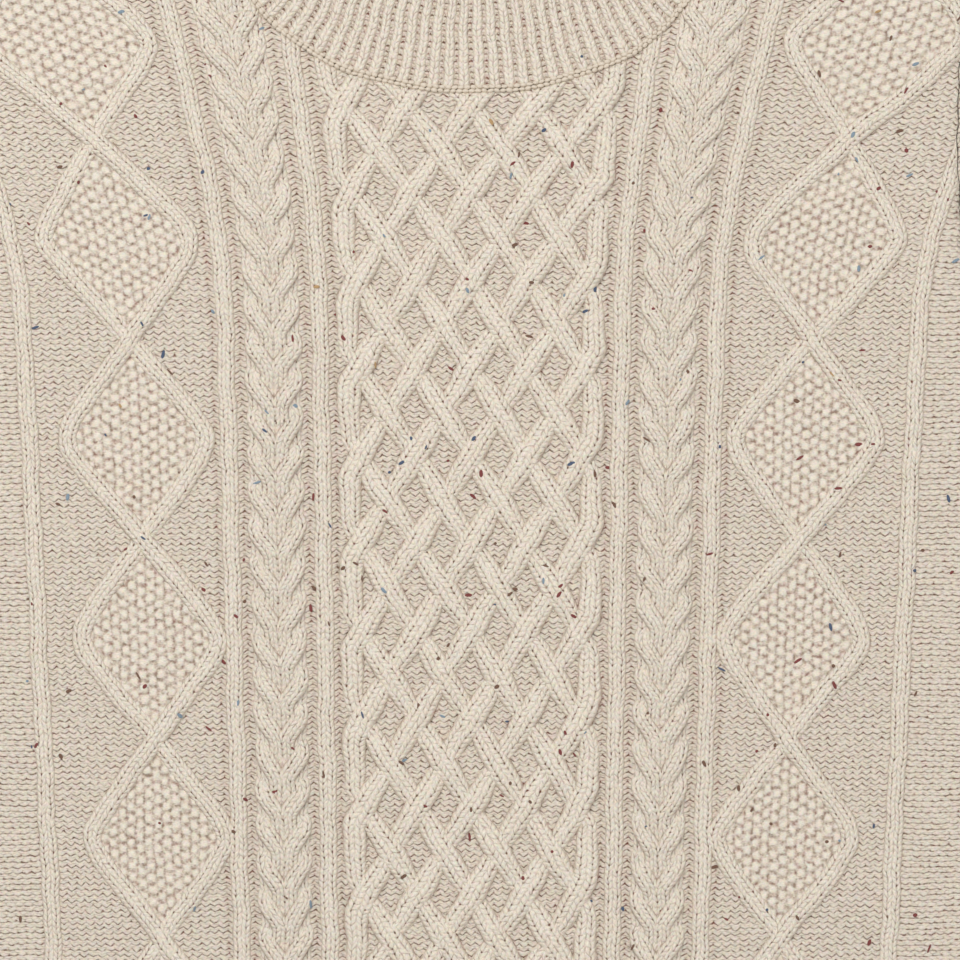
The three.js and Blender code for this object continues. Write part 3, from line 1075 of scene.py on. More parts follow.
def add_node(tree: NodeTree, kind: str, links: dict[str | int, object] | None = None,
             **settings: object) -> Node:
    """Add a node with its settings and links.

    Args:
        tree: The tree that it goes into.
        kind: The node's type.
        links: Input name or number to what feeds it: a node, whose first output in use is taken, one
            output of a node, or a plain value.
        settings: The node's own properties.

    Returns:
        The node.
    """
    node = tree.nodes.new(kind)
    for name, value in settings.items():
        setattr(node, name, value)
    for name, value in (links or {}).items():
        if isinstance(value, Node):
            value = next(output for output in value.outputs if output.enabled)
        if isinstance(value, NodeSocket):
            tree.links.new(value, node.inputs[name])
        else:
            node.inputs[name].default_value = value
    return node


def start_material(name: str) -> tuple[Material, NodeTree]:
    """Start a material.

    Args:
        name: Its name.

    Returns:
        The material and its node tree, which is empty.
    """
    made = bpy.data.materials.new(name)
    made.use_nodes = True
    made.node_tree.nodes.clear()
    return made, made.node_tree


# The node types that the finishes use most
MATH = "ShaderNodeMath"
VECTOR = "ShaderNodeVectorMath"
NOISE = "ShaderNodeTexNoise"
RANGE = "ShaderNodeMapRange"
MIX = "ShaderNodeMix"

# What feeds a node: another node or one of its outputs
Source = Node | NodeSocket


def add_steps(tree: NodeTree, made: dict[str, Source], rows: Sequence[tuple]) -> None:
    """Add a chain of nodes that work a pattern out from values that are there.

    Args:
        tree: The tree that they go into.
        made: The values by name. Each row adds its own or replaces it.
        rows: A name, an operation and its inputs for each node. An input is a value's name or a number.
            SMOOTHSTEP maps a value from one range softly onto another, and all else is arithmetic.
    """
    for name, operation, *inputs in rows:
        feeds = {number: made.get(value, value) for number, value in enumerate(inputs)}
        if operation == "SMOOTHSTEP":
            made[name] = add_node(tree, RANGE, feeds, interpolation_type=operation)
        else:
            made[name] = add_node(tree, MATH, feeds, operation=operation)


@dataclass(frozen=True)
class NepYarn:
    """Carded oatmeal yarn of cotton and wool with coloured neps, loosely spun, soft and matt.

    The eye sees pale stitches with thin dark slits between their yarn legs, warm brown-pink shade in the
    grooves, a mottle from uneven dyeing and fibres that run along the yarn. The slits' darkness is painted
    shadow and the groove shade is painted into the colour.
    """

    stitch: Stitch
    pale: str = "#EEE7DA"
    warm: str = "#E5D9C7"
    # Painted shade for the grooves, reddish in patches where burgundy fibres lie in them
    groove: str = "#8A6A54"
    red_fibre_groove_shade: str = "#8C5546"
    # Painted shadow for the slits between the yarn legs
    dark: str = "#3E2D23"
    # How strongly the painted shade is mixed in
    groove_shade_share: float = 0.86
    roughness: float = 0.92
    sheen: float = 0.12
    marl_mm: float = 6.0
    tint_mm: float = 1.3
    patch_mm: float = 4.5
    # The slits come and go over this distance, and the stitches wander over the other
    fickle_mm: float = 1.9
    wander_mm: float = 3.4
    # Real fibres are 0.02 mm thick, and these strands are coarser so that they show
    fibre_mm: float = 0.4
    fibre_run: float = 3.2
    relief_mm: float = 0.5

    def material(self) -> Material:
        """Build the material.

        Returns:
            The material of this face of the cloth.
        """
        made, tree = start_material(f"oatmeal_nep_yarn_{self.stitch.name.lower()}")
        place = add_node(tree, "ShaderNodeTexCoord").outputs["Object"]
        cloth = self.wandering_cloth(tree, place)
        # The pit attribute says how much painted groove shade a point gets
        pit = add_node(tree, "ShaderNodeAttribute", attribute_name="pit").outputs["Fac"]
        slits, body = self.knit(tree, cloth) if self.stitch is Stitch.KNIT else self.purl(tree, cloth)
        fickle = add_node(tree, NOISE, {"Vector": place, "Scale": 1.0 / (self.fickle_mm * MM), "Detail": 1.0})
        fickle = add_node(tree, RANGE, {"Value": fickle, 1: 0.32, 2: 0.68, 3: 0.15, 4: 1.5})
        slits = add_node(tree, MATH, {0: slits, 1: fickle}, operation="MULTIPLY", use_clamp=True)
        fibre = self.fibres(tree, cloth)
        colour = self.colour(tree, place, slits, pit, fibre)
        height = add_node(tree, MATH, {0: slits, 1: -1.0, 2: body}, operation="MULTIPLY_ADD")
        height = add_node(tree, MATH, {0: fibre, 1: 0.45, 2: height}, operation="MULTIPLY_ADD")
        bump = add_node(tree, "ShaderNodeBump", {
            "Height": height, "Strength": 0.85, "Distance": self.relief_mm * MM})
        shader = add_node(tree, "ShaderNodeBsdfPrincipled", {
            "Base Color": colour, "Roughness": self.roughness, "Normal": bump,
            "Sheen Weight": self.sheen, "Sheen Roughness": 0.5, "Specular IOR Level": 0.2})
        add_node(tree, "ShaderNodeOutputMaterial", {"Surface": shader})
        return made

    def wandering_cloth(self, tree: NodeTree, place: Source) -> Source:
        """Shift the cloth's wales and stitches a little at random, so that no two stitches match.

        Args:
            tree: The material's tree.
            place: Object coordinates.

        Returns:
            The cloth's coordinates: wales across and stitches along.
        """
        cloth = add_node(tree, "ShaderNodeUVMap", uv_map="cloth")
        noise = add_node(tree, NOISE, {"Vector": place, "Scale": 1.0 / (self.wander_mm * MM), "Detail": 2.0})
        shift = add_node(tree, VECTOR, {0: noise.outputs["Color"], 1: (0.5, 0.5, 0.5)}, operation="SUBTRACT")
        shift = add_node(tree, VECTOR, {0: shift, 1: (0.4, 0.8, 0.0)}, operation="MULTIPLY")
        return add_node(tree, VECTOR, {0: cloth, 1: shift}, operation="ADD")

    def knit(self, tree: NodeTree, cloth: Source) -> tuple[Source, Source]:
        """Draw plain knit: two slanted yarn legs for each stitch.

        Args:
            tree: The material's tree.
            cloth: The cloth's coordinates.

        Returns:
            How much painted shadow the slits between the legs get, and how high the legs stand.
        """
        parts = add_node(tree, "ShaderNodeSeparateXYZ", {"Vector": cloth})
        tight = add_node(tree, "ShaderNodeAttribute", attribute_name="variant").outputs["Fac"]
        made = {"across": parts.outputs["X"], "along": parts.outputs["Y"], "tight": tight}
        rise = CHEVRON / GAUGE.knit_row
        add_steps(tree, made, (
            ("from_edge", "PINGPONG", "across", 0.5),
            ("from_centre", "SUBTRACT", 0.5, "from_edge"),
            ("from_leg", "SUBTRACT", "from_centre", 0.25),
            ("from_leg", "ABSOLUTE", "from_leg"),
            ("climb", "ADD", "along", rise),
            ("climb", "MULTIPLY_ADD", "from_centre", -2 * rise, "climb"),
            ("joint", "PINGPONG", "climb", 0.5),
            ("slit", "SMOOTHSTEP", "from_centre", 0.0, 0.13, 1.0, 0.0),
            ("eye", "SMOOTHSTEP", "joint", 0.0, 0.36, 0.95, 0.0),
            ("spine", "SMOOTHSTEP", "from_centre", 0.0, 0.09, 0.36, 0.0),
            ("rung", "SMOOTHSTEP", "joint", 0.0, 0.15, 0.3, 0.0),
            ("border", "SMOOTHSTEP", "from_edge", 0.0, 0.1, 0.34, 0.0),
            ("leg", "SMOOTHSTEP", "from_leg", 0.0, 0.3, 1.0, 0.0),
            ("loose", "MULTIPLY_ADD", "tight", -0.6, 1.0),
            ("slits", "MULTIPLY", "slit", "eye"),
            ("slits", "MULTIPLY", "slits", "loose"),
            ("slits", "MAXIMUM", "slits", "spine"),
            ("slits", "MAXIMUM", "slits", "rung"),
            ("slits", "MAXIMUM", "slits", "border"),
            ("swell", "MULTIPLY_ADD", "joint", 0.8, 0.5),
            ("body", "MULTIPLY", "leg", "swell"),
        ))
        return made["slits"], made["body"]

    def purl(self, tree: NodeTree, cloth: Source) -> tuple[Source, Source]:
        """Draw the purl side: rows of bowls that hook into each other, and moss stitch among them.

        Args:
            tree: The material's tree.
            cloth: The cloth's coordinates.

        Returns:
            How much painted shadow the slits between the bowls get, and how high the bowls stand.
        """
        parts = add_node(tree, "ShaderNodeSeparateXYZ", {"Vector": cloth})
        made = {"across": parts.outputs["X"], "along": parts.outputs["Y"]}
        add_steps(tree, made, (
            ("cusp", "ADD", "across", 0.5),
            ("cusp", "PINGPONG", "cusp", 0.5),
            ("cusp", "MULTIPLY_ADD", "cusp", -2.0, 1.0),
            ("cusp", "POWER", "cusp", 1.6),
            ("climb", "MULTIPLY_ADD", "cusp", -0.2, "along"),
            ("joint", "PINGPONG", "climb", 0.5),
            ("hill", "SUBTRACT", 1.0, "cusp"),
            ("hill", "MULTIPLY_ADD", "hill", -0.2, "along"),
            ("hill", "ADD", "hill", 0.5),
            ("hill", "PINGPONG", "hill", 0.5),
            ("thin", "SMOOTHSTEP", "joint", 0.0, 0.17, 0.6, 0.0),
            ("wide", "SMOOTHSTEP", "joint", 0.0, 0.3, 0.72, 0.0),
            ("wide", "MULTIPLY", "wide", "cusp"),
            ("between", "SMOOTHSTEP", "hill", 0.0, 0.13, 0.3, 0.0),
            ("slits", "MAXIMUM", "thin", "wide"),
            ("slits", "MAXIMUM", "slits", "between"),
            ("body", "MULTIPLY", "joint", 2.0),
            ("body", "POWER", "body", 0.6),
        ))
        share = add_node(tree, "ShaderNodeAttribute", attribute_name="variant").outputs["Fac"]
        crack, knob = self.moss(tree, cloth, made)
        slits = add_node(tree, MIX, {0: share, 2: made["slits"], 3: crack}, data_type="FLOAT")
        return slits, add_node(tree, MIX, {0: share, 2: made["body"], 3: knob}, data_type="FLOAT")

    def moss(self, tree: NodeTree, cloth: Source, made: dict[str, Source]) -> tuple[Source, Source]:
        """Draw moss stitch: plump knobs that lie like bricks, with soft cracks between them.

        Args:
            tree: The material's tree.
            cloth: The cloth's coordinates.
            made: Their parts across and along, by name.

        Returns:
            How much painted shadow the cracks get, and how high the knobs stand.
        """
        made["rough"] = add_node(tree, NOISE, {"Vector": cloth, "Scale": 2.3, "Detail": 2.0})
        add_steps(tree, made, (
            ("column", "ROUND", "across"),
            ("tall", "MULTIPLY_ADD", "along", GAUGE.purl_row / GAUGE.moss_row, "column"),
            ("tall", "PINGPONG", "tall", 1.0),
            ("tall", "POWER", "tall", 3.0),
            ("broad", "SUBTRACT", "across", "column"),
            ("broad", "ABSOLUTE", "broad"),
            ("broad", "MULTIPLY", "broad", 1.7),
            ("broad", "POWER", "broad", 3.0),
            ("away", "ADD", "tall", "broad"),
            ("away", "POWER", "away", 1.0 / 3.0),
            ("away", "SUBTRACT", "away", 0.35),
            ("away", "MULTIPLY_ADD", "rough", 0.7, "away"),
            ("knob", "SMOOTHSTEP", "away", 0.3, 0.98, 1.0, 0.0),
            ("crack", "SUBTRACT", 1.0, "knob"),
            ("crack", "POWER", "crack", 1.5),
            ("crack", "MULTIPLY", "crack", 0.55),
            ("knob", "MULTIPLY", "knob", 0.6),
        ))
        return made["crack"], made["knob"]

    def fibres(self, tree: NodeTree, cloth: Source) -> Source:
        """Draw fine strands along the yarn.

        Args:
            tree: The material's tree.
            cloth: The cloth's coordinates.

        Returns:
            The strands, from 0 to 1.
        """
        wale, row = GAUGE.sleeve_wale / self.fibre_mm, GAUGE.knit_row / (self.fibre_mm * self.fibre_run)
        if self.stitch is Stitch.PURL:
            wale, row = wale / self.fibre_run, row * self.fibre_run
        strands = add_node(tree, "ShaderNodeMapping", {"Vector": cloth, "Scale": (wale, row, 1.0)})
        return add_node(tree, NOISE, {"Vector": strands, "Scale": 1.0, "Detail": 3.0, "Roughness": 0.6})

    def colour(self, tree: NodeTree, place: Source, slits: Source, pit: Source, fibre: Source) -> Source:
        """Colour the yarn: pale on the legs, with painted brown-pink shade in the grooves and the darkest
        painted shadow in the slits.

        Args:
            tree: The material's tree.
            place: Object coordinates.
            slits: How much painted shadow the slits get.
            pit: How much painted groove shade the point gets.
            fibre: The strands.

        Returns:
            The base colour.
        """
        marl = add_node(tree, NOISE, {"Vector": place, "Scale": 1.0 / (self.marl_mm * MM), "Detail": 3.0})
        base = add_node(tree, MIX, {0: marl, 6: linear(self.pale), 7: linear(self.warm)}, data_type="RGBA")
        hues = add_node(tree, NOISE, {"Vector": place, "Scale": 1.0 / (self.tint_mm * MM), "Detail": 2.0})
        hues = add_node(tree, VECTOR, {
            0: hues.outputs["Color"], 1: (0.34, 0.26, 0.36), 2: (0.83, 0.87, 0.82)}, operation="MULTIPLY_ADD")
        tinted = add_node(tree, VECTOR, {0: base, 1: hues}, operation="MULTIPLY")
        strand = add_node(tree, RANGE, {"Value": fibre, 1: 0.28, 2: 0.72, 3: 0.8, 4: 1.12})
        toned = add_node(tree, VECTOR, {0: tinted, "Scale": strand}, operation="SCALE")
        patch = add_node(tree, NOISE, {"Vector": place, "Scale": 1.0 / (self.patch_mm * MM), "Detail": 1.0})
        patch = add_node(tree, RANGE, {"Value": patch, 1: 0.48, 2: 0.62})
        # Painted groove shade, reddish in patches where burgundy fibres lie in the grooves
        shade = add_node(tree, MIX, {0: patch, 6: linear(self.groove), 7: linear(self.red_fibre_groove_shade)},
                         data_type="RGBA")
        # Painted shadow: the deepest slits go towards the darkest colour
        deep = add_node(tree, MATH, {0: slits, 1: slits}, operation="MULTIPLY")
        deep = add_node(tree, MATH, {0: deep, 1: 0.45}, operation="MULTIPLY")
        shade = add_node(tree, MIX, {0: deep, 6: shade, 7: linear(self.dark)}, data_type="RGBA")
        # How much painted shade a point takes, from its pit and its slits
        both = add_node(tree, MATH, {0: pit, 1: 0.9, 2: 1.0}, operation="MULTIPLY_ADD")
        both = add_node(tree, MATH, {0: slits, 1: both}, operation="MULTIPLY")
        both = add_node(tree, MATH, {0: pit, 1: 0.5, 2: both}, operation="MULTIPLY_ADD")
        share = add_node(tree, MATH, {0: both, 1: self.groove_shade_share}, operation="MULTIPLY", use_clamp=True)
        return add_node(tree, MIX, {0: share, 6: toned, 7: shade}, data_type="RGBA")


@dataclass(frozen=True)
class LinkYarn:
    """The same yarn on the small linking stitches: matt and pale, with fibres that mottle it."""

    dark: str = "#C9B8A4"
    pale: str = "#EEE6D8"
    fibre_mm: float = 0.5
    relief_mm: float = 0.3

    def material(self) -> Material:
        """Build the material.

        Returns:
            The material.
        """
        made, tree = start_material("oatmeal_link_yarn")
        place = add_node(tree, "ShaderNodeTexCoord").outputs["Object"]
        fibre = add_node(tree, NOISE, {"Vector": place, "Scale": 1.0 / (self.fibre_mm * MM), "Detail": 3.0})
        colour = add_node(tree, MIX, {0: fibre, 6: linear(self.dark), 7: linear(self.pale)}, data_type="RGBA")
        bump = add_node(tree, "ShaderNodeBump", {
            "Height": fibre, "Strength": 0.8, "Distance": self.relief_mm * MM})
        shader = add_node(tree, "ShaderNodeBsdfPrincipled", {
            "Base Color": colour, "Roughness": 0.92, "Normal": bump, "Sheen Weight": 0.12})
        add_node(tree, "ShaderNodeOutputMaterial", {"Surface": shader})
        return made


@dataclass(frozen=True)
class Nep:
    """A coloured tuft that was carded into the yarn: matt fibre, felted into a small streak."""

    name: str
    colour: str
    per_square_metre: float
    seed: int
    mottle_mm: float = 0.5

    def material(self) -> Material:
        """Build the material.

        Returns:
            The material.
        """
        made, tree = start_material(f"nep_{self.name}")
        place = add_node(tree, "ShaderNodeTexCoord").outputs["Object"]
        noise = add_node(tree, NOISE, {"Vector": place, "Scale": 1.0 / (self.mottle_mm * MM), "Detail": 2.0})
        tone = add_node(tree, RANGE, {"Value": noise, 3: 0.7, 4: 1.5})
        colour = add_node(tree, VECTOR, {0: linear(self.colour)[:3], "Scale": tone}, operation="SCALE")
        shader = add_node(tree, "ShaderNodeBsdfPrincipled", {
            "Base Color": colour, "Roughness": 0.95, "Sheen Weight": 0.2})
        add_node(tree, "ShaderNodeOutputMaterial", {"Surface": shader})
        return made


NEPS = (
    Nep("burgundy", "#743A38", 420.0, 11),
    Nep("navy", "#46536A", 170.0, 23),
    Nep("blue", "#7B8B98", 150.0, 37),
    Nep("umber", "#6A4F40", 260.0, 41),
    Nep("ochre", "#A98A62", 40.0, 53),
)


# Knitted parts of the garment


class Side(Enum):
    """The wearer's sides as they lie in the picture."""

    LEFT = -1
    RIGHT = 1


RIB_CENTRES = (16.0, 26.0, 47.4)
RIB_STRIP = Strip(half_width=4.05, arch=2.1)
HORSESHOE_CENTRE = 21.0
# A cable strand whose foot lies lower than this is out of sight under the others
HIDDEN_STRAND = WALL.ground - 1.2


@dataclass
class FrontPanel:
    """The front: a purl ground with lattice, ribs, horseshoe cables and moss diamonds."""

    outline: Outline = field(default_factory=lambda: Outline(panel_outline(front_seam)))
    lattice: Lattice = Lattice()
    horseshoe: Horseshoe = Horseshoe()
    diamond: Diamond = Diamond()
    ground: Ground = Ground()
    top: float = 90.0
    # Columns of points in wales: even ones at the centre and on the flank, wide ones under the cables
    column_step: float = 0.5
    centre_reach: float = 14.6
    flank_reach: tuple[float, float] = (28.0, 45.6)
    cable_columns: tuple[float, ...] = (15.0, 17.0, 17.5, 18.0, 21.0, 24.0, 24.5, 25.0, 27.0, 27.5)
    rib_columns: tuple[float, ...] = (46.0, 46.4, 48.4)
    plain_columns: int = 9
    plain_power: float = 0.8
    plain_from: float = 46.2
    moss_inset: float = 0.4
    bed_half: float = 2.85
    # Narrow purl columns beside the horseshoe cables and the ribs, which get painted shade
    narrow_columns: tuple[float, ...] = (14.5, 17.5, 24.5, 27.5)
    narrow_shade: float = 0.52
    # Painted shade at the upper and lower corners of the lattice's holes
    corner_shade: float = 0.95
    edge_drop: float = 1.0

    def heights(self) -> Array:
        """Closely spaced heights from the hem rib to the shoulders."""
        return np.arange(CUT.hem_top, self.top, 1.0)

    def lay_path(self, fabric: Fabric, strip: Strip, wales: Array, rise: Array,
                 width: Array | None = None, hidden_below: float = -math.inf) -> None:
        """Lay a strip that follows places in wales up the body.

        Args:
            fabric: Where its surface is gathered.
            strip: The strip.
            wales: Its place at each height.
            rise: Its lift at each height.
            width: Its half width at each height, if it varies.
            hidden_below: Level of the foot under which the strip is left out.
        """
        height = self.heights()
        path = build_smoothed(wales * GAUGE.wale_at(height), height)
        strip.lay(fabric, path, WALL.ground + rise, self.outline, width, hidden_below=hidden_below)

    def ground_columns(self) -> Array:
        """Places of the ground's columns in wales: close where it shows, wide under the cables.

        Returns:
            The places, from left to right.
        """
        centre = np.arange(0.0, self.centre_reach, self.column_step)
        flank = np.arange(*self.flank_reach, self.column_step)
        right = np.concatenate([centre, self.cable_columns, flank, self.rib_columns])
        return np.concatenate([-right[:0:-1], right])

    def lay_ground(self) -> Fabric:
        """Knit the ground, and close its rim down to the back panel.

        Returns:
            The ground.
        """
        fabric = Fabric()
        half_row = GAUGE.purl_row / 2
        rows = np.arange(int((self.top - CUT.hem_top) / half_row) + 1)
        height = (CUT.hem_top + rows * half_row)[:, None]
        inner = self.ground_columns()
        side = np.linspace(0.0, 1.0, self.plain_columns + 1)[1:] ** self.plain_power
        edge_line = inner[-1] * GAUGE.wale_at(height)
        far = np.maximum(edge_line, np.full_like(height, CUT.half_width + 0.5))
        x_right = edge_line + (far - edge_line) * side
        x = np.concatenate([-x_right[:, ::-1], inner * GAUGE.wale_at(height), x_right], axis=1)
        wales = x / GAUGE.wale_at(height)
        y = np.broadcast_to(height, x.shape).copy()
        row = np.broadcast_to(rows[:, None], x.shape)
        relief, pit = self.ground.purl(wales, row)
        moss_relief, moss_shade = self.ground.moss(wales, row)
        reach = np.abs(np.abs(wales) - self.diamond.centre_at(y))
        inside = reach < self.diamond.opening(y) - self.moss_inset
        relief = np.where(inside, moss_relief, relief)
        pit = np.where(inside, moss_shade, pit)
        waved = (np.abs(wales) < self.plain_from) & ~inside
        y -= self.ground.wave * np.cos(2 * math.pi * wales) * waved
        # Painted shade in the narrow columns and at the corners of the lattice's holes
        for narrow in self.narrow_columns:
            pit = np.where(np.abs(np.abs(wales) - narrow) < 0.3, self.narrow_shade, pit)
        pit = np.maximum(pit, self.corner_shade * self.lattice.corners(wales, y))
        x, y, depth = self.outline.pull_inside(x, y)
        z = WALL.ground + relief - self.edge_drop * (1.0 - smooth(depth / self.ground.edge_soft))
        marks = (wales, row / 2)
        faces = fabric.add_grid(x, y, z, pit, marks, Stitch.PURL, depth > LEAST_DEPTH, variant=inside)
        fabric.add_skirt(faces, WALL.upper)
        return fabric

    def lay_lattice(self) -> Fabric:
        """Lay the ten ropes of the lattice.

        Returns:
            The ropes.
        """
        fabric = Fabric()
        for rope in range(self.lattice.ropes):
            wales, rise = self.lattice.path(rope, self.heights())
            width = self.lattice.strip.half_width + self.lattice.swell * rise
            self.lay_path(fabric, self.lattice.strip, wales, rise, width)
        return fabric

    def lay_ribs(self) -> Fabric:
        """Lay the six narrow ribs.

        Returns:
            The ribs.
        """
        fabric = Fabric()
        height = self.heights()
        for centre in RIB_CENTRES:
            for side in Side:
                wales = np.full_like(height, side.value * centre)
                self.lay_path(fabric, RIB_STRIP, wales, np.zeros_like(height))
        return fabric

    def lay_horseshoe(self, side: Side) -> Fabric:
        """Lay one horseshoe cable on its bed of plain wales.

        Args:
            side: The side on which it lies.

        Returns:
            The cable.
        """
        fabric = Fabric()
        height = self.heights()
        wales = np.full_like(height, side.value * HORSESHOE_CENTRE)
        width = self.bed_half * GAUGE.wale_at(height)
        self.lay_path(fabric, self.horseshoe.bed, wales, np.zeros_like(height), width)
        for away, rise, width in self.horseshoe.strands(height):
            wales = side.value * HORSESHOE_CENTRE + away
            self.lay_path(fabric, self.horseshoe.strip, wales, rise, width, HIDDEN_STRAND)
        return fabric

    def lay_diamonds(self) -> Fabric:
        """Lay the rope outlines of both columns of diamonds.

        Returns:
            The ropes.
        """
        fabric = Fabric()
        for side in Side:
            for rope in range(2):
                wales, rise = self.diamond.path(rope, self.heights())
                self.lay_path(fabric, self.diamond.strip, side.value * wales, rise)
        return fabric


@dataclass(frozen=True)
class RibBand:
    """A band of one-by-one rib: knit ridges with purl valleys between them."""

    ribs: int
    length: float
    level: float
    arch: float = 1.5
    share: float = 0.76
    rows: int = 2
    # A rib that would start farther along than this is out of sight and is left out
    last_start: float = 0.9
    end_drop: float = 1.6
    end_soft: float = 2.2
    # Painted shade of the purl valleys
    valley_shade: float = 0.45
    valley_drop: float = 0.8
    valley_soft: float = 2.5
    ripple: float = 0.1

    def lay(self, fabric: Fabric, place: Placing, start: Callable[[float], float] | None = None) -> Array:
        """Lay the band.

        Args:
            fabric: Where its surface is gathered.
            place: Gives x and height for a part across, -1 to 1, and a part along, 0 to 1.
            start: Gives the part along at which the rib at a part across begins to show.

        Returns:
            The faces of the valleys' surface.
        """
        half_pitch = 1.0 / self.ribs
        row_count = int(self.length / GAUGE.knit_row * 2)
        part = np.linspace(0.0, 1.0, row_count + 1)[:, None]
        lines = np.linspace(-1.0, 1.0, 4 * self.ribs + 1)[None, :]
        across, along = np.broadcast_arrays(lines, part)
        x, y = place(across, along)
        valley = (np.arange(lines.size) % 4 == 0)[None, :]
        row = np.arange(row_count + 1)[:, None]
        ends = 1.0 - smooth(np.minimum(along, 1.0 - along) * self.length / self.valley_soft)
        z = self.level + np.where(valley, self.ripple * (row % 2), 0.0) - self.valley_drop * ends
        marks = ((across + 1.0) * self.ribs + 0.5, along * self.length / GAUGE.purl_row)
        # The valleys carry an even painted shade
        faces = fabric.add_grid(x, y, z, np.full_like(x, self.valley_shade), marks, Stitch.PURL)
        strip = Strip(wales=1, arch=self.arch, rows=self.rows, leg=0.3, sink=0.4, tight=True)
        for rib in range(self.ribs):
            middle = -1.0 + (2 * rib + 1) * half_pitch
            first = 0.0 if start is None else start(middle)
            if first > self.last_start:
                continue
            run = np.linspace(first, 1.0, max(8, int(self.length * (1 - first))))
            px, py = place(np.full_like(run, middle), run)
            lx, ly = place(np.full_like(run, middle - half_pitch), run)
            width = np.hypot(px - lx, py - ly) * self.share
            from_end = np.minimum(run - first, 1.0 - run) * self.length
            drop = self.end_drop * (1.0 - smooth(from_end / self.end_soft))
            path = np.stack([px, py], axis=1)
            strip.lay(fabric, path, self.level - self.ripple - drop, None, width)
        return faces


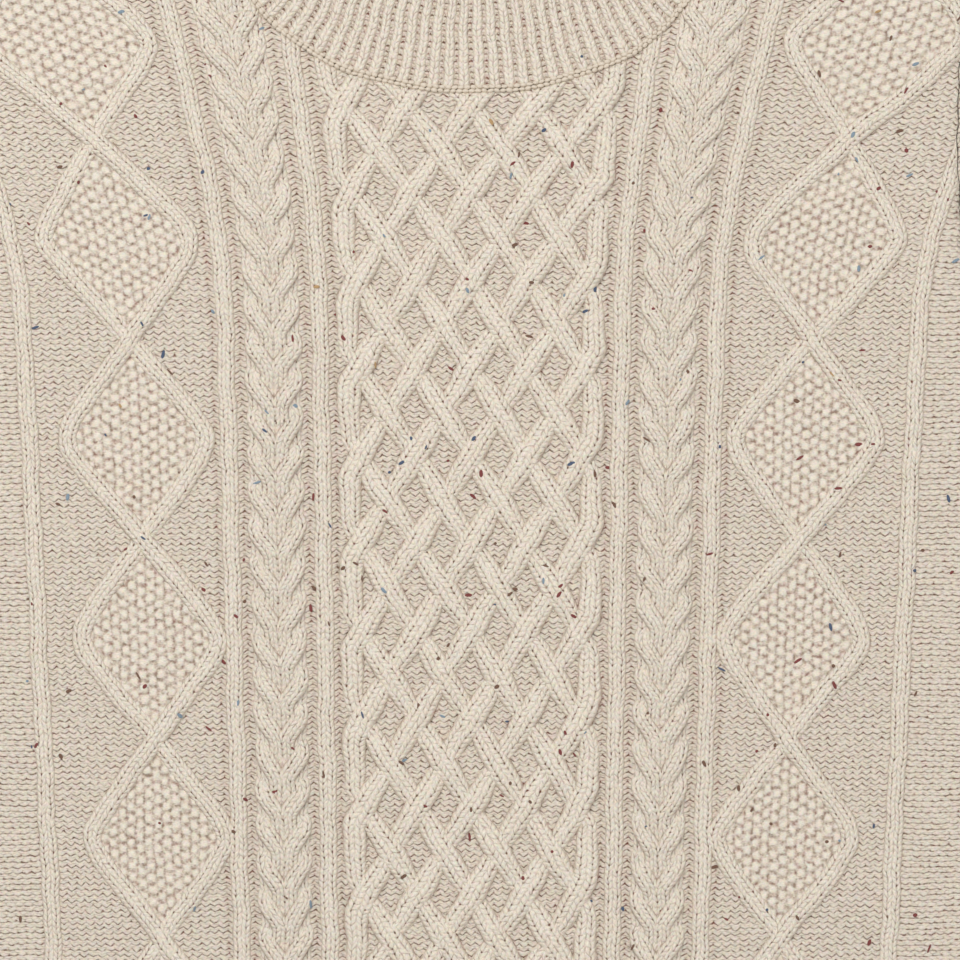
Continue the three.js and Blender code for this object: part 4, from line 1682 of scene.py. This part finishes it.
@dataclass
class Collar:
    """The mock neck: a ribbed tube that is pressed flat, its front half over the back."""

    ribs: int = 46
    height: float = 55.0
    girth: float = 550.0
    # Square metres of the flat tube, which narrows towards its top edge
    flat_area: float = 0.0263
    # How squarely a rib leaves the seam, as a share of its length, but for the ones at the folds
    front_flare: float = 0.42
    back_flare: float = 0.3
    fold_power: float = 8.0
    # Part of an edge's length over which its direction is read
    reading: float = 0.002
    # A back rib is seen where it lies this far above the front's top edge
    peek: float = 1.5
    wall_reach: float = 0.985
    wall_columns: int = 60
    # The wall's rings: part of the height, and how far the front lies below the ground there
    rings: tuple[tuple[float, float], ...] = ((0.0, 0.9), (0.03, 0.3), (0.5, 0.3), (0.97, 0.3), (1.0, 0.9))
    # Painted shade over the whole wall
    wall_shade: float = 0.45
    wall_wales: float = 1.5
    wall_stitches: float = 4.0

    def between(self, low: Array, high: Array, flare: float) -> Placing:
        """Placing on the surface between two edges, by parts of their length.

        Args:
            low: The lower edge.
            high: The upper edge.
            flare: How far a rib leaves the lower edge squarely, as a part of its length.

        Returns:
            A function that gives x and height for a part across and a part along.
        """

        def place(across: Array, along: Array) -> tuple[Array, Array]:
            """Place a point on the surface.

            Args:
                across: Part across, from -1 to 1.
                along: Part along, from 0 to 1.

            Returns:
                Its x and its height.
            """
            part = (np.asarray(across) + 1.0) / 2.0
            a, b = along_curve(low, part), along_curve(high, part)
            before, after = (np.clip(part + step, 0, 1) for step in (-self.reading, self.reading))
            run = along_curve(low, after) - along_curve(low, before)
            run /= np.maximum(np.linalg.norm(run, axis=-1, keepdims=True), 1e-9)
            square = np.stack([-run[..., 1], run[..., 0]], axis=-1)
            length = np.linalg.norm(b - a, axis=-1, keepdims=True)
            away_from_folds = 1.0 - np.abs(2 * part - 1.0)[..., None] ** self.fold_power
            control = a + (b - a) * flare + (square * length - (b - a)) * flare * away_from_folds
            rise = np.asarray(along)[..., None]
            spot = a * (1 - rise) ** 2 + 2 * control * rise * (1 - rise) + b * rise**2
            return spot[..., 0], spot[..., 1]

        return place

    def lay(self) -> tuple[Fabric, Fabric]:
        """Make the tube.

        Returns:
            Its wall and its ribs.
        """
        front, back = (
            self.between(neck_curve(CUT.neck_half, seam), neck_curve(CUT.collar_top_half, top), flare)
            for seam, top, flare in (
                (front_seam, front_top, self.front_flare), (back_seam, back_top, self.back_flare))
        )

        def shows_from(middle: float) -> float:
            """Find where a back rib comes out from under the front edge.

            Args:
                middle: The rib's part across.

            Returns:
                The part along, or 1 where it stays hidden.
            """
            run = np.linspace(0.0, 1.0, 60)
            x, y = back(np.full_like(run, middle), run)
            seen = y > front_top(x) + self.peek
            return float(run[seen][0]) if seen.any() else 1.0

        ribs = Fabric()
        RibBand(self.ribs, self.height, RIB_LEVEL, rows=3).lay(ribs, front)
        RibBand(self.ribs, self.height, WALL.thick - 0.1, arch=1.0).lay(ribs, back, shows_from)
        return self.wall(front, back), ribs

    def ring(self, front: Placing, back: Placing, rise: float, levels: tuple[float, float],
             inset: float) -> Array:
        """Make one ring round the tube: front, right fold, back, left fold.

        Args:
            front: Placing on the front.
            back: Placing on the back.
            rise: The part of the height at which it lies.
            levels: Its levels on the front and on the back.
            inset: How far it lies within the folds.

        Returns:
            Its points.
        """
        across = np.linspace(-self.wall_reach, self.wall_reach, self.wall_columns)
        middle = WALL.upper - WALL.gap / 2
        rises = np.full_like(across, rise)
        front_x, front_y = front(across, rises)
        back_x, back_y = back(across[::-1], rises)
        right, left = (
            [float(x[0]) - side * inset, float(y[0]), middle]
            for side, (x, y) in ((side, front(np.array([side]), np.array([rise]))) for side in (1.0, -1.0))
        )
        front_ring = np.stack([front_x, front_y, np.full_like(front_x, levels[0])], axis=1)
        back_ring = np.stack([back_x, back_y, np.full_like(back_x, levels[1])], axis=1)
        return np.concatenate([front_ring, [right], back_ring, [left]])

    def wall(self, front: Placing, back: Placing) -> Fabric:
        """Make the closed wall of the tube under the ribs.

        Args:
            front: Placing on the front.
            back: Placing on the back.

        Returns:
            The wall.
        """
        rings = [self.ring(front, back, rise, (WALL.ground - drop, 0.0), 0.0) for rise, drop in self.rings]
        inner = (WALL.upper, WALL.thick)
        rings += [self.ring(front, back, rise, inner, WALL.thick) for rise, _ in self.rings[::-2]]
        table = np.array(rings)
        count, size = table.shape[:2]
        turn, climb = np.meshgrid(np.arange(size) * self.wall_wales, np.arange(count) * self.wall_stitches)
        marks = np.stack([turn, climb], axis=-1).reshape(-1, 2)
        wall = Fabric()
        wall.add_points(table.reshape(-1, 3), np.full(count * size, self.wall_shade), marks)
        number = np.arange(count * size).reshape(count, size)
        above, right = np.roll(number, -1, axis=0), np.roll(number, -1, axis=1)
        corner = np.roll(above, -1, axis=1)
        wall.add_faces(np.stack([number, right, corner, above], axis=-1).reshape(-1, 4), Stitch.PURL)
        return wall


def flat_shell(outline: Outline, low: float, high: float, step: float = 8.0, lid: bool = True) -> Fabric:
    """A flat knitted wall with its rim.

    Args:
        outline: Its plan outline.
        low: Level of its underside.
        high: Level of its upper side.
        step: Spacing of its grid.
        lid: Whether it has an upper side, which closes it all round.

    Returns:
        Its surfaces.
    """
    shell = Fabric()
    start, end = outline.points.min(axis=0) - 0.5, outline.points.max(axis=0) + 0.5
    across = np.linspace(start[0], end[0], int((end[0] - start[0]) / step) + 2)
    along = np.linspace(start[1], end[1], int((end[1] - start[1]) / step) + 2)
    x, y = np.meshgrid(across, along)
    marks = (x / GAUGE.sleeve_wale, y / GAUGE.knit_row)
    px, py, depth = outline.pull_inside(x, y)
    keep = depth > 0.0
    soft = SHELL_ROUND * (1.0 - smooth(depth / SHELL_EDGE))
    under = shell.add_grid(px, py, low + soft, np.zeros_like(px), marks, Stitch.KNIT, keep, under=True)
    if not lid:
        shell.add_skirt(under, high, 0.0)
        return shell
    top = shell.add_grid(px, py, high - soft, np.zeros_like(px), marks, Stitch.KNIT, keep)
    grid = px.size
    rim = rim_edges(top)
    wall = np.stack([rim[:, 0], rim[:, 0] - grid, rim[:, 1] - grid, rim[:, 1]], axis=1)
    shell.add_faces(wall, Stitch.KNIT)
    return shell


@dataclass
class Sleeve:
    """The right sleeve: a tube pressed flat, with a horseshoe cable and four ribs on its outer side."""

    outline: Outline = field(default_factory=lambda: Outline(sleeve_outline()))
    ground: Ground = Ground()
    horseshoe: Horseshoe = Horseshoe(strip=Strip(half_width=3.9, arch=2.1, stitch=2.7, rows=2))
    rib_strip: Strip = Strip(half_width=4.05, arch=2.1, rows=2)
    rib_centres: tuple[float, float] = (5.3, 9.3)
    # Columns of points in wales: wide ones under the cables, then even ones out to the fold
    cable_columns: tuple[float, ...] = (0.0, 3.5, 4.3, 6.3, 7.0, 7.5, 8.3, 10.3, 11.0)
    column_step: float = 0.5
    reach: float = 520.0
    edge_wale: float = 36.0
    edge_drop: float = 1.7
    cuff_ribs: int = 14
    cuff_step: float = 4.0

    def lay_ground(self) -> Fabric:
        """Knit the upper ground, and close its rim.

        Returns:
            The ground.
        """
        fabric = Fabric()
        half_row = GAUGE.purl_row / 2
        rows = np.arange(int(self.reach / half_row) + 1)
        up = (rows * half_row)[:, None]
        plain = np.arange(self.cable_columns[-1] + self.column_step, self.edge_wale, self.column_step)
        right = np.concatenate([self.cable_columns, plain])
        wales = np.concatenate([-right[:0:-1], right])[None, :]
        wales, up = np.broadcast_arrays(wales, up)
        row = np.broadcast_to(rows[:, None], wales.shape)
        shifted = up - self.ground.wave * np.cos(2 * math.pi * wales)
        x, y = sleeve_place(wales * GAUGE.sleeve_wale, shifted)
        relief, pit = self.ground.purl(wales, row)
        x, y, depth = self.outline.pull_inside(x, y)
        z = WALL.ground + relief - self.edge_drop * (1.0 - smooth(depth / self.ground.edge_soft))
        faces = fabric.add_grid(x, y, z, pit, (wales, row / 2), Stitch.PURL, depth > LEAST_DEPTH)
        fabric.add_skirt(faces, WALL.upper)
        return fabric

    def lay_cables(self) -> Fabric:
        """Lay the cable and the ribs.

        Returns:
            The cable and the ribs.
        """
        fabric = Fabric()
        up = np.arange(0.0, self.reach, 1.0)
        lines = [(side.value * centre + 0 * up, 0 * up, None, self.rib_strip)
                 for centre in self.rib_centres for side in Side]
        lines.append((0 * up, 0 * up, None, self.horseshoe.bed))
        lines += [(*course, self.horseshoe.strip) for course in self.horseshoe.strands(up)]
        for wales, rise, width, strip in lines:
            x, y = sleeve_place(wales * GAUGE.sleeve_wale, up)
            strip.lay(fabric, build_smoothed(x, y), WALL.ground + rise, self.outline, width,
                      hidden_below=HIDDEN_STRAND)
        return fabric

    def lay_cuff(self) -> Fabric:
        """Lay the cuff's ribs on its upper side.

        Returns:
            The cuff's ribs.
        """
        fabric = Fabric()

        def place(across: Array, along: Array) -> tuple[Array, Array]:
            """Place on the cuff, from its end to the joint."""
            up = -CUT.cuff_length + along * (CUT.cuff_length + JOINT_OVERLAP)
            return sleeve_place(across * cuff_half(up), up)

        faces = RibBand(self.cuff_ribs, CUT.cuff_length, RIB_LEVEL).lay(fabric, place)
        fabric.add_skirt(faces, WALL.upper)
        return fabric

    def lay_under(self) -> Fabric:
        """The flat under side of the sleeve and its cuff.

        Returns:
            The under side.
        """
        up = np.linspace(-CUT.cuff_length, JOINT_OVERLAP, EDGE_POINTS)
        right, left = sleeve_place(cuff_half(up), up), sleeve_place(-cuff_half(up), up)
        cuff = np.concatenate([np.stack(right, axis=1), np.stack(left, axis=1)[::-1]])
        shell = flat_shell(self.outline, 0.0, WALL.thick, lid=False)
        shell.join(flat_shell(Outline(cuff), 0.0, WALL.thick, self.cuff_step, lid=False))
        return shell


@dataclass
class HemBand:
    """The hem rib on the front."""

    band: RibBand = RibBand(68, CUT.hem_top - CUT.hem_end, RIB_LEVEL)

    def lay(self) -> Fabric:
        """Lay the hem's ribs.

        Returns:
            The ribs.
        """
        fabric = Fabric()

        def place(across: Array, along: Array) -> tuple[Array, Array]:
            """Place on the hem, from its end to the body."""
            height = CUT.hem_end + along * (CUT.hem_top + JOINT_OVERLAP - CUT.hem_end)
            return across * hem_half(height), height

        faces = self.band.lay(fabric, place)
        fabric.add_skirt(faces, WALL.upper)
        return fabric


# Repeats that Geometry Nodes make


def evaluate_and_keep(holders: Sequence[Object], name: str, material: Material) -> Object:
    """Turn objects with live nodes into one plain mesh piece.

    Args:
        holders: The objects whose nodes make the geometry. They are removed.
        name: The new piece's name.
        material: Its material.

    Returns:
        The piece.
    """
    graph = bpy.context.evaluated_depsgraph_get()
    gathered = bmesh.new()
    for holder in holders:
        part = bpy.data.meshes.new_from_object(holder.evaluated_get(graph), depsgraph=graph)
        gathered.from_mesh(part)
        bpy.data.meshes.remove(part)
    for holder in holders:
        bpy.data.objects.remove(holder)
    mesh = bpy.data.meshes.new(name)
    gathered.to_mesh(mesh)
    gathered.free()
    mesh.materials.clear()
    mesh.materials.append(material)
    log.info("%s: %d triangles", name, len(mesh.polygons))
    return add_object(name, mesh)


def set_inputs(holder: Object, tree: NodeTree, values: dict[str, float]) -> None:
    """Put a node tree on an object, and set its inputs by their identifiers.

    Args:
        holder: The object.
        tree: The tree.
        values: A value for each input's name.
    """
    modifier = holder.modifiers.new(tree.name, "NODES")
    modifier.node_group = tree
    sockets = {item.name: item.identifier for item in tree.interface.items_tree if item.in_out == "INPUT"}
    for name, value in values.items():
        modifier[sockets[name]] = value
    bpy.context.view_layer.update()


@dataclass(frozen=True)
class Tufts:
    """Small stretched balls of fibre that Geometry Nodes set on points.

    The three sizes run along a point's own axes, and vary between their least and most shares.
    """

    size_mm: Triple = (1.0, 1.0, 1.0)
    least: Triple = (1.0, 1.0, 1.0)
    most: Triple = (1.0, 1.0, 1.0)
    soft: bool = True
    levels: int = 2

    @staticmethod
    def start_tree(name: str, number: str) -> tuple[NodeTree, Node]:
        """Start a tree that takes a geometry, a number and a seed.

        Args:
            name: The tree's name.
            number: The name of the number's input.

        Returns:
            The tree, and the node that gives what it takes.
        """
        tree = bpy.data.node_groups.new(name, "GeometryNodeTree")
        for label, kind in (("Geometry", "Geometry"), (number, "Float"), ("Seed", "Int")):
            tree.interface.new_socket(label, in_out="INPUT", socket_type=f"NodeSocket{kind}")
        tree.interface.new_socket("Geometry", in_out="OUTPUT", socket_type="NodeSocketGeometry")
        return tree, add_node(tree, "NodeGroupInput")

    def end_tree(self, tree: NodeTree, points: Node, turn: Node, seed: NodeSocket,
                 material: Material) -> None:
        """Set a ball on each point, and end the tree.

        Args:
            tree: The tree.
            points: The node that gives the points and their axes.
            turn: How each ball is turned from its point's axes.
            seed: The seed of the balls' sizes.
            material: The balls' material.
        """
        least, most = (tuple(share * size for share, size in zip(shares, self.size_mm))
                       for shares in (self.least, self.most))
        size = add_node(tree, "FunctionNodeRandomValue", {0: least, 1: most, "Seed": seed},
                        data_type="FLOAT_VECTOR")
        turned = add_node(tree, "FunctionNodeRotateRotation", {0: points.outputs["Rotation"], 1: turn},
                          rotation_space="LOCAL")
        ball = add_node(tree, "GeometryNodeMeshIcoSphere", {"Radius": MM, "Subdivisions": self.levels})
        made = add_node(tree, "GeometryNodeInstanceOnPoints", {
            "Points": points.outputs["Points"], "Instance": ball, "Rotation": turned, "Scale": size})
        made = add_node(tree, "GeometryNodeRealizeInstances", {"Geometry": made})
        if self.soft:
            made = add_node(tree, "GeometryNodeSetShadeSmooth", {"Geometry": made})
        made = add_node(tree, "GeometryNodeSetMaterial", {"Geometry": made, "Material": material})
        add_node(tree, "NodeGroupOutput", {"Geometry": made})


@dataclass(frozen=True)
class LinkingChain(Tufts):
    """The line of small stitches that links the collar to the front neck."""

    size_mm: Triple = (0.95, 1.55, 1.55)
    least: Triple = (0.85, 0.92, 0.88)
    most: Triple = (1.2, 1.25, 1.15)
    least_tilt: Triple = (0.1, -0.3, -0.2)
    most_tilt: Triple = (0.55, 0.3, 0.2)
    pitch_mm: float = 2.8
    seed: int = 5
    # How far each row lies above the seam, and how many stitches it is shifted along it
    rows: tuple[tuple[float, float], ...] = ((-0.2, 0.0), (1.5, 0.5))
    inset: float = 1.0
    sink: float = 0.1
    end_gap: float = 0.004
    curve_steps: int = 60
    line_points: int = 240

    def tree(self, material: Material) -> NodeTree:
        """Build the tree that sets stitches along a curve.

        Args:
            material: The stitches' material.

        Returns:
            The tree, whose inputs are the curve's edges, the pitch and the seed.
        """
        tree, given = self.start_tree("linking_chain", "Pitch")
        curve = add_node(tree, "GeometryNodeMeshToCurve", {"Mesh": given.outputs["Geometry"]})
        points = add_node(tree, "GeometryNodeCurveToPoints", {
            "Curve": curve, "Length": given.outputs["Pitch"]}, mode="LENGTH")
        tilt = add_node(tree, "FunctionNodeRandomValue", {
            0: self.least_tilt, 1: self.most_tilt, "Seed": given.outputs["Seed"]}, data_type="FLOAT_VECTOR")
        turn = add_node(tree, "FunctionNodeEulerToRotation", {"Euler": tilt})
        self.end_tree(tree, points, turn, given.outputs["Seed"], material)
        return tree

    def line(self, above: float, shift: float) -> Array:
        """Place one row of stitches along the front neck seam.

        Args:
            above: How far the row lies above the seam.
            shift: How many stitches it is shifted along it.

        Returns:
            The points of its line.
        """
        curve = neck_curve(CUT.neck_half - self.inset, front_seam, self.curve_steps)
        length = float(np.sum(np.linalg.norm(np.diff(curve, axis=0), axis=1)))
        start = self.end_gap + shift * self.pitch_mm / length
        part = np.linspace(start, 1.0 - self.end_gap, self.line_points)
        flat = along_curve(curve, part) + np.array([0.0, above])
        shift_x, shift_y = uneven(flat[:, 0], flat[:, 1])
        level = np.full(len(flat), WALL.ground - self.sink)
        return np.column_stack([flat[:, 0] + shift_x, flat[:, 1] + (shift_y - CUT.middle), level])

    def lay(self, material: Material) -> Object:
        """Lay the rows of stitches.

        Args:
            material: The stitches' material.

        Returns:
            The stitches as one piece.
        """
        points = np.concatenate([self.line(above, shift) for above, shift in self.rows])
        starts = range(0, len(points), self.line_points)
        edges = [(k + start, k + start + 1) for start in starts for k in range(self.line_points - 1)]
        mesh = bpy.data.meshes.new("linking_chain_path")
        mesh.from_pydata((points * MM).tolist(), edges, [])
        holder = add_object("linking_chain_path", mesh)
        set_inputs(holder, self.tree(material), {"Pitch": self.pitch_mm * MM, "Seed": self.seed})
        return evaluate_and_keep([holder], "linking_chain", material)


@dataclass(frozen=True)
class NepScatter(Tufts):
    """Small streaks of coloured fibre, scattered over the stitches."""

    size_mm: Triple = (1.7, 0.72, 0.4)
    least: Triple = (0.4, 0.6, 0.8)
    most: Triple = (1.25, 1.3, 1.2)
    soft: bool = False
    # Faces whose normal rises less than this carry none
    least_lift: float = 0.55

    def tree(self, material: Material) -> NodeTree:
        """Build the scattering tree.

        Args:
            material: The neps' material.

        Returns:
            The tree, whose inputs are the surface, the density and the seed.
        """
        tree, given = self.start_tree("nep_scatter", "Density")
        normal = add_node(tree, "GeometryNodeInputNormal").outputs["Normal"]
        lift = add_node(tree, "ShaderNodeSeparateXYZ", {"Vector": normal}).outputs["Z"]
        faces_up = add_node(tree, "FunctionNodeCompare", {0: lift, 1: self.least_lift},
                            data_type="FLOAT", operation="GREATER_THAN")
        points = add_node(tree, "GeometryNodeDistributePointsOnFaces", {
            "Mesh": given.outputs["Geometry"], "Selection": faces_up,
            "Density": given.outputs["Density"], "Seed": given.outputs["Seed"]})
        spin = add_node(tree, "FunctionNodeRandomValue", {
            2: 0.0, 3: 2 * math.pi, "Seed": given.outputs["Seed"]}, data_type="FLOAT")
        turn = add_node(tree, "FunctionNodeAxisAngleToRotation", {"Angle": spin})
        self.end_tree(tree, points, turn, given.outputs["Seed"], material)
        return tree

    def scatter(self, sources: Sequence[Object], nep: Nep, name: str, material: Material) -> Object:
        """Scatter one colour over some pieces.

        Args:
            sources: The pieces whose surfaces carry the neps.
            nep: The colour and its density.
            name: The new piece's name.
            material: The neps' material.

        Returns:
            The neps as one mesh.
        """
        tree = self.tree(material)
        holders = []
        for number, source in enumerate(sources):
            holder = add_object(f"{name}_source_{number}", source.data.copy())
            set_inputs(holder, tree, {"Density": nep.per_square_metre, "Seed": nep.seed + number})
            holders.append(holder)
        return evaluate_and_keep(holders, name, material)


# The stage


@dataclass(frozen=True)
class Lamp:
    """A round soft lamp that looks at the garment's middle."""

    name: str
    place: Triple
    size: float
    power: float

    def set_up(self) -> None:
        """Place the lamp."""
        data = bpy.data.lights.new(self.name, "AREA")
        data.shape = "DISK"
        data.size = self.size
        data.energy = self.power
        lamp = add_object(self.name, data)
        lamp.location = self.place
        lamp.rotation_euler = (-Vector(self.place)).to_track_quat("-Z", "Y").to_euler()


@dataclass(frozen=True)
class Studio:
    """A pale floor, soft light and a camera straight above, as in the picture."""

    frame_px: float = 960.0
    mm_per_px: float = 0.45
    centre_line_px: float = 471.0
    neck_low_px: float = 90.0
    camera_height: float = 2.4
    cloth_height: float = 0.007
    clip_end: float = 20.0
    sensor_mm: float = 36.0
    floor_half: float = 3.0
    floor_colour: str = "#D8D0C4"
    floor_roughness: float = 0.8
    world_colour: tuple[float, ...] = (1.0, 0.985, 0.96, 1.0)
    world_strength: float = 0.565
    lamps: tuple[Lamp, ...] = (
        Lamp("key", (-0.9, 1.2, 1.9), 1.4, 29.9),
        Lamp("fill", (1.5, -0.6, 1.8), 1.8, 13.0),
    )

    def floor(self) -> None:
        """Make the floor."""
        mesh = bpy.data.meshes.new("floor")
        half = self.floor_half
        corners = [(-half, -half, 0), (half, -half, 0), (half, half, 0), (-half, half, 0)]
        mesh.from_pydata(corners, [], [(0, 1, 2, 3)])
        made = bpy.data.materials.new("pale_floor")
        made.use_nodes = True
        shader = made.node_tree.nodes["Principled BSDF"]
        shader.inputs["Base Color"].default_value = linear(self.floor_colour)
        shader.inputs["Roughness"].default_value = self.floor_roughness
        mesh.materials.append(made)
        add_object("floor", mesh)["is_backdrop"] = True

    def camera(self) -> None:
        """Place the camera over the stretch that the picture shows."""
        middle = self.frame_px / 2
        x = (middle - self.centre_line_px) * self.mm_per_px * MM
        y = ((self.neck_low_px - middle) * self.mm_per_px - CUT.middle) * MM
        data = bpy.data.cameras.new("camera")
        span = self.frame_px * self.mm_per_px * MM
        data.sensor_width = self.sensor_mm
        data.lens = self.sensor_mm * (self.camera_height - self.cloth_height) / span
        data.clip_end = self.clip_end
        camera = add_object("camera", data)
        camera.location = (x, y, self.camera_height)
        bpy.context.scene.camera = camera

    def set_up(self) -> None:
        """Make the whole stage."""
        self.floor()
        self.camera()
        for lamp in self.lamps:
            lamp.set_up()
        world = bpy.data.worlds.new("studio")
        world.use_nodes = True
        back = world.node_tree.nodes["Background"]
        back.inputs["Color"].default_value = self.world_colour
        back.inputs["Strength"].default_value = self.world_strength
        bpy.context.scene.world = world
        bpy.context.scene.view_settings.view_transform = "Standard"


def dress(piece: Object, slot: str, *nodes: str) -> Object:
    """Let a piece ride on the root, and stand for its nodes.

    Args:
        piece: The piece.
        slot: Not used.
        nodes: The solids that it stands for.

    Returns:
        The piece.
    """
    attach(piece, "root")
    if nodes:
        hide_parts(*nodes)
    return piece


def build_front(finishes: Finishes) -> list[Object]:
    """Build the front panel with everything that is knitted on it.

    Args:
        finishes: The finish of each stitch.

    Returns:
        Its pieces, the ground first.
    """
    front = FrontPanel()
    pieces = {
        "front_ground": front.lay_ground(),
        "front_hem_rib": HemBand().lay(),
        "front_lattice": front.lay_lattice(),
        "front_ribs": front.lay_ribs(),
        "front_horseshoe_left": front.lay_horseshoe(Side.LEFT),
        "front_horseshoe_right": front.lay_horseshoe(Side.RIGHT),
        "front_diamonds": front.lay_diamonds(),
    }
    made = [fabric.build(name, finishes) for name, fabric in pieces.items()]
    dress(made[0], "body_knit", "front")
    for piece in made[1:]:
        dress(piece, "body_knit")
    front.outline.area
    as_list(made[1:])
    return made


def build_back(finishes: Finishes) -> Object:
    """Build the back panel with its hem.

    Args:
        finishes: The finish of each stitch.

    Returns:
        Its piece.
    """
    outline = Outline(panel_outline(back_seam))
    height = np.linspace(CUT.hem_end, CUT.hem_top + JOINT_OVERLAP, EDGE_POINTS)
    hem = np.concatenate([
        np.stack([hem_half(height), height], axis=1), np.stack([-hem_half(height), height], axis=1)[::-1]])
    shell = flat_shell(outline, 0.0, WALL.thick)
    shell.join(flat_shell(Outline(hem), 0.0, WALL.thick))
    piece = dress(shell.build("back_panel", finishes), "body_knit", "back")
    area = outline.area + Outline(hem).area
    return piece


def build_sleeves(finishes: Finishes) -> list[Object]:
    """Build both sleeves: the left one mirrors the right one.

    Args:
        finishes: The finish of each stitch.

    Returns:
        Their pieces, the right sleeve's first.
    """
    sleeve = Sleeve()
    parts = {"ground": sleeve.lay_ground(), "cables": sleeve.lay_cables(), "cuff": sleeve.lay_cuff()}
    parts["ground"].join(sleeve.lay_under())
    area = 2 * sleeve.outline.area + 4 * CUT.cuff_half_mid * CUT.cuff_length * MM * MM
    pieces = []
    for side in (Side.RIGHT, Side.LEFT):
        name = f"sleeve_{side.name.lower()}"
        made = []
        for part, fabric in parts.items():
            shown = fabric if side is Side.RIGHT else fabric.mirrored()
            made.append(shown.build(f"{name}_{part}", finishes))
        dress(made[0], "sleeve_knit", name)
        for piece in made[1:]:
            dress(piece, "sleeve_knit")
        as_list(made[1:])
        pieces.extend(made)
    return pieces


def build_collar(finishes: Finishes) -> list[Object]:
    """Build the collar.

    Args:
        finishes: The finish of each stitch.

    Returns:
        Its wall and its ribs.
    """
    collar = Collar()
    wall, ribs = collar.lay()
    made = [wall.build("collar_wall", finishes), ribs.build("collar_ribs", finishes)]
    dress(made[0], "collar_rib", "collar")
    dress(made[1], "collar_rib")
    dress(LinkingChain().lay(LinkYarn().material()), "collar_rib")
    return made


def build_neps(groups: dict[str, Sequence[Object]]) -> None:
    """Scatter the neps over the pieces of each slot.

    Args:
        groups: The pieces that carry neps, for each slot.
    """
    scatter = NepScatter()
    for nep in NEPS:
        material = nep.material()
        for slot, sources in groups.items():
            part = slot.split("_")[0]
            dress(scatter.scatter(sources, nep, f"nep_{nep.name}_{part}", material), slot)


def main() -> None:
    """Build the sweater piece by piece, and report each one."""
    logging.basicConfig(level=logging.INFO, format="%(message)s")
    Studio().set_up()
    finishes = {stitch: NepYarn(stitch).material() for stitch in Stitch}
    front = build_front(finishes)
    build_back(finishes)
    sleeves = build_sleeves(finishes)
    collar = build_collar(finishes)
    build_neps({"body_knit": front, "sleeve_knit": sleeves, "collar_rib": collar[1:]})
    [[list(map(float, corner)) for corner in box] for box in (cad_bounds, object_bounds())]


if __name__ == "__main__":
    main()
